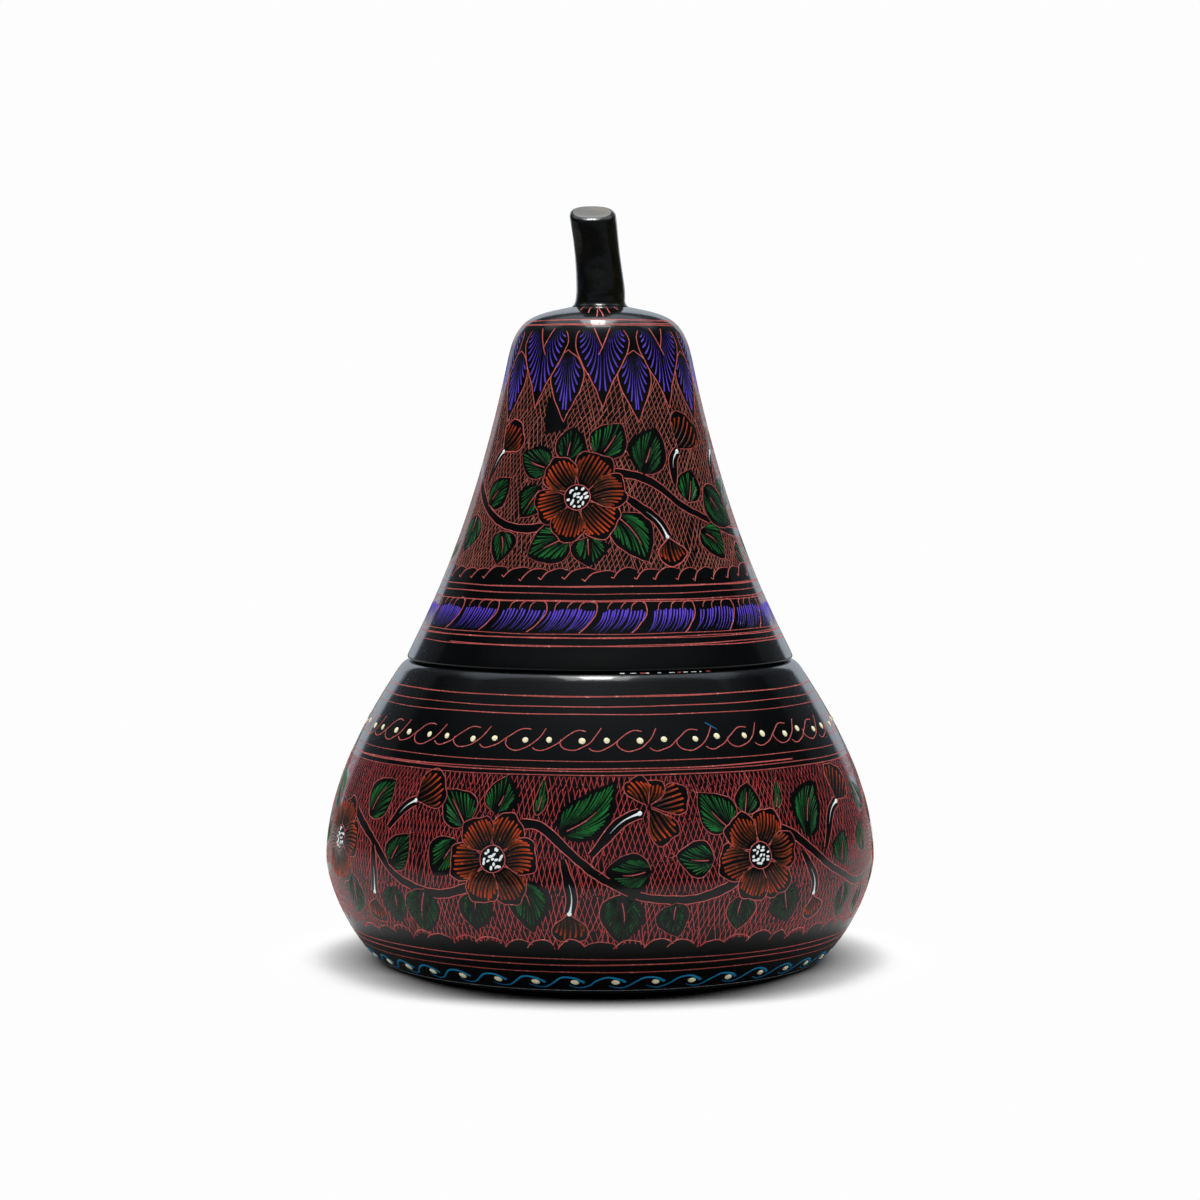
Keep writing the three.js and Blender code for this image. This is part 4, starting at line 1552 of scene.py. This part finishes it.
def makeFloor():
    size, albedo = stage["floor"] / 2, stage["albedo"]
    corners = [(-size, -size, 0), (size, -size, 0), (size, size, 0), (-size, size, 0)]
    floor = link("table", meshOf("table", corners, faces=[(0, 1, 2, 3)]))
    material, tree = newMaterial("tableTop")
    rays = put(tree, "ShaderNodeLightPath").outputs
    where = put(tree, "ShaderNodeTexCoord").outputs["Object"]
    y = put(tree, "ShaderNodeSeparateXYZ", {0: where}).outputs["Y"]
    # the crack under the belly lies in painted shade, from the box's ambient occlusion and deepest in
    # front, on the table as seen and as mirrored; diffuse light still bounces off it at full
    front = ranged(tree, y, 1, 0, *stage["front"])
    deep = ranged(tree, front, *stage["darkBelow"], 0, 1)
    clear = ranged(tree, front, *stage["clearAbove"], 0, 1)
    sockets = {"Distance": stage["shadeReach"]}
    sky = put(tree, "ShaderNodeAmbientOcclusion", sockets, samples=24).outputs["AO"]
    shade = ranged(tree, sky, 0, 1, deep, clear)
    lit = calc(tree, "MAXIMUM", shade, rays["Is Diffuse Ray"])
    colour = blend(tree, lit, (0, 0, 0, 1), (albedo, albedo, albedo, 1))
    cloth = put(tree, "ShaderNodeBsdfDiffuse", {"Color": colour}).outputs[0]
    # the table's white glow carries the same painted shade
    glow = calc(tree, "MULTIPLY", shade, stage["white"])
    white = put(tree, "ShaderNodeEmission", {"Color": (1, 1, 1, 1), "Strength": glow}).outputs[0]
    dark = put(tree, "ShaderNodeEmission", {"Strength": stage["roomGlow"]}).outputs[0]
    distance = put(tree, "ShaderNodeVectorMath", {0: where}, operation="LENGTH").outputs["Value"]
    faded = calc(tree, "MULTIPLY", ranged(tree, distance, 0, 1, *stage["fade"]), seenDirectly(tree, rays))
    shader = put(tree, "ShaderNodeMixShader", {0: faded, 1: cloth, 2: white}).outputs[0]
    past = calc(tree, "LESS_THAN", y, stage["tableEdge"])
    hidden = calc(tree, "MULTIPLY_ADD", past, stage["mirrored"], 1 - stage["mirrored"])
    hidden = calc(tree, "MULTIPLY", hidden, rays["Is Glossy Ray"])
    shader = put(tree, "ShaderNodeMixShader", {0: hidden, 1: shader, 2: dark}).outputs[0]
    put(tree, "ShaderNodeOutputMaterial", {"Surface": shader})
    floor.data.materials.append(material)
    floor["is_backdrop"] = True


def makeWorld():
    world = bpy.data.worlds.new("studio")
    bpy.context.scene.world = world
    tree = emptied(world)
    rays = put(tree, "ShaderNodeLightPath").outputs
    direction = put(tree, "ShaderNodeTexCoord").outputs["Generated"]
    axes = put(tree, "ShaderNodeSeparateXYZ", {0: direction}).outputs

    def glowOf(*parts):
        total = None
        for part in parts:
            glow = None
            for axis, *ramp in room[part]:
                step = ranged(tree, axes[axis], *ramp)
                glow = step if glow is None else calc(tree, "MULTIPLY", glow, step)
            total = glow if total is None else calc(tree, "ADD", total, glow)
        return total

    low = calc(tree, "MULTIPLY", glowOf("backdrop", "sides"), glowOf("belowTop"))
    mirrored = calc(tree, "ADD", low, glowOf("ceiling", "top", "blind"))
    plain = calc(tree, "MULTIPLY_ADD", rays["Is Glossy Ray"], -stage["ambient"], stage["ambient"])
    glossy = calc(tree, "MULTIPLY_ADD", rays["Is Glossy Ray"], mirrored, plain)
    sockets = {0: seenDirectly(tree, rays), 2: glossy, 3: stage["white"]}
    light = put(tree, "ShaderNodeMix", sockets, data_type="FLOAT").outputs[0]
    tint = blend(tree, rays["Is Glossy Ray"], (1, 1, 1, 1), stage["cool"])
    background = put(tree, "ShaderNodeBackground", {"Color": tint, "Strength": light}).outputs[0]
    put(tree, "ShaderNodeOutputWorld", {"Surface": background})


lamps = {
    "overhead": {"at": (-0.02, -0.03, 0.95), "size": (0.15, 0.3), "watts": 3.6, "mirrored": True},
    "halo": {"at": (-0.02, -0.03, 0.97), "size": (0.34, 0.5), "watts": 2.2, "mirrored": True},
    "behind": {"at": (0.05, 0.42, 0.95), "size": (0.5, 0.5), "watts": 4.0, "mirrored": False},
    "left": {"at": (-0.95, -0.6, 0.55), "size": (0.7, 0.7), "watts": 2.9, "mirrored": False},
    "right": {"at": (0.95, -0.6, 0.55), "size": (0.7, 0.7), "watts": 2.9, "mirrored": False},
    "back": {"at": (0, 1.1, 0.35), "size": (0.9, 0.9), "watts": 2.4, "mirrored": False},
}


def makeLamps():
    for name, lamp in lamps.items():
        light = bpy.data.lights.new(name, "AREA")
        light.shape = "RECTANGLE"
        light.size, light.size_y = lamp["size"]
        light.energy = lamp["watts"]
        holder = bpy.data.objects.new(name + "Lamp", light)
        aim = np.array([0, 0, stage["lampAim"]]) - lamp["at"]
        flat = math.hypot(aim[0], aim[1])
        holder.location = lamp["at"]
        heading = 0 if lamp["mirrored"] else math.atan2(-aim[0], aim[1])
        holder.rotation_euler = (math.atan2(flat, -aim[2]), 0, heading)
        holder.visible_glossy = lamp["mirrored"]
        bpy.context.scene.collection.objects.link(holder)


makeFloor()
makeWorld()
makeLamps()
say("stage and light set")

boxes = {"cad": cadBox, "visual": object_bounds()}
{name: [list(corner) for corner in box] for name, box in boxes.items()}
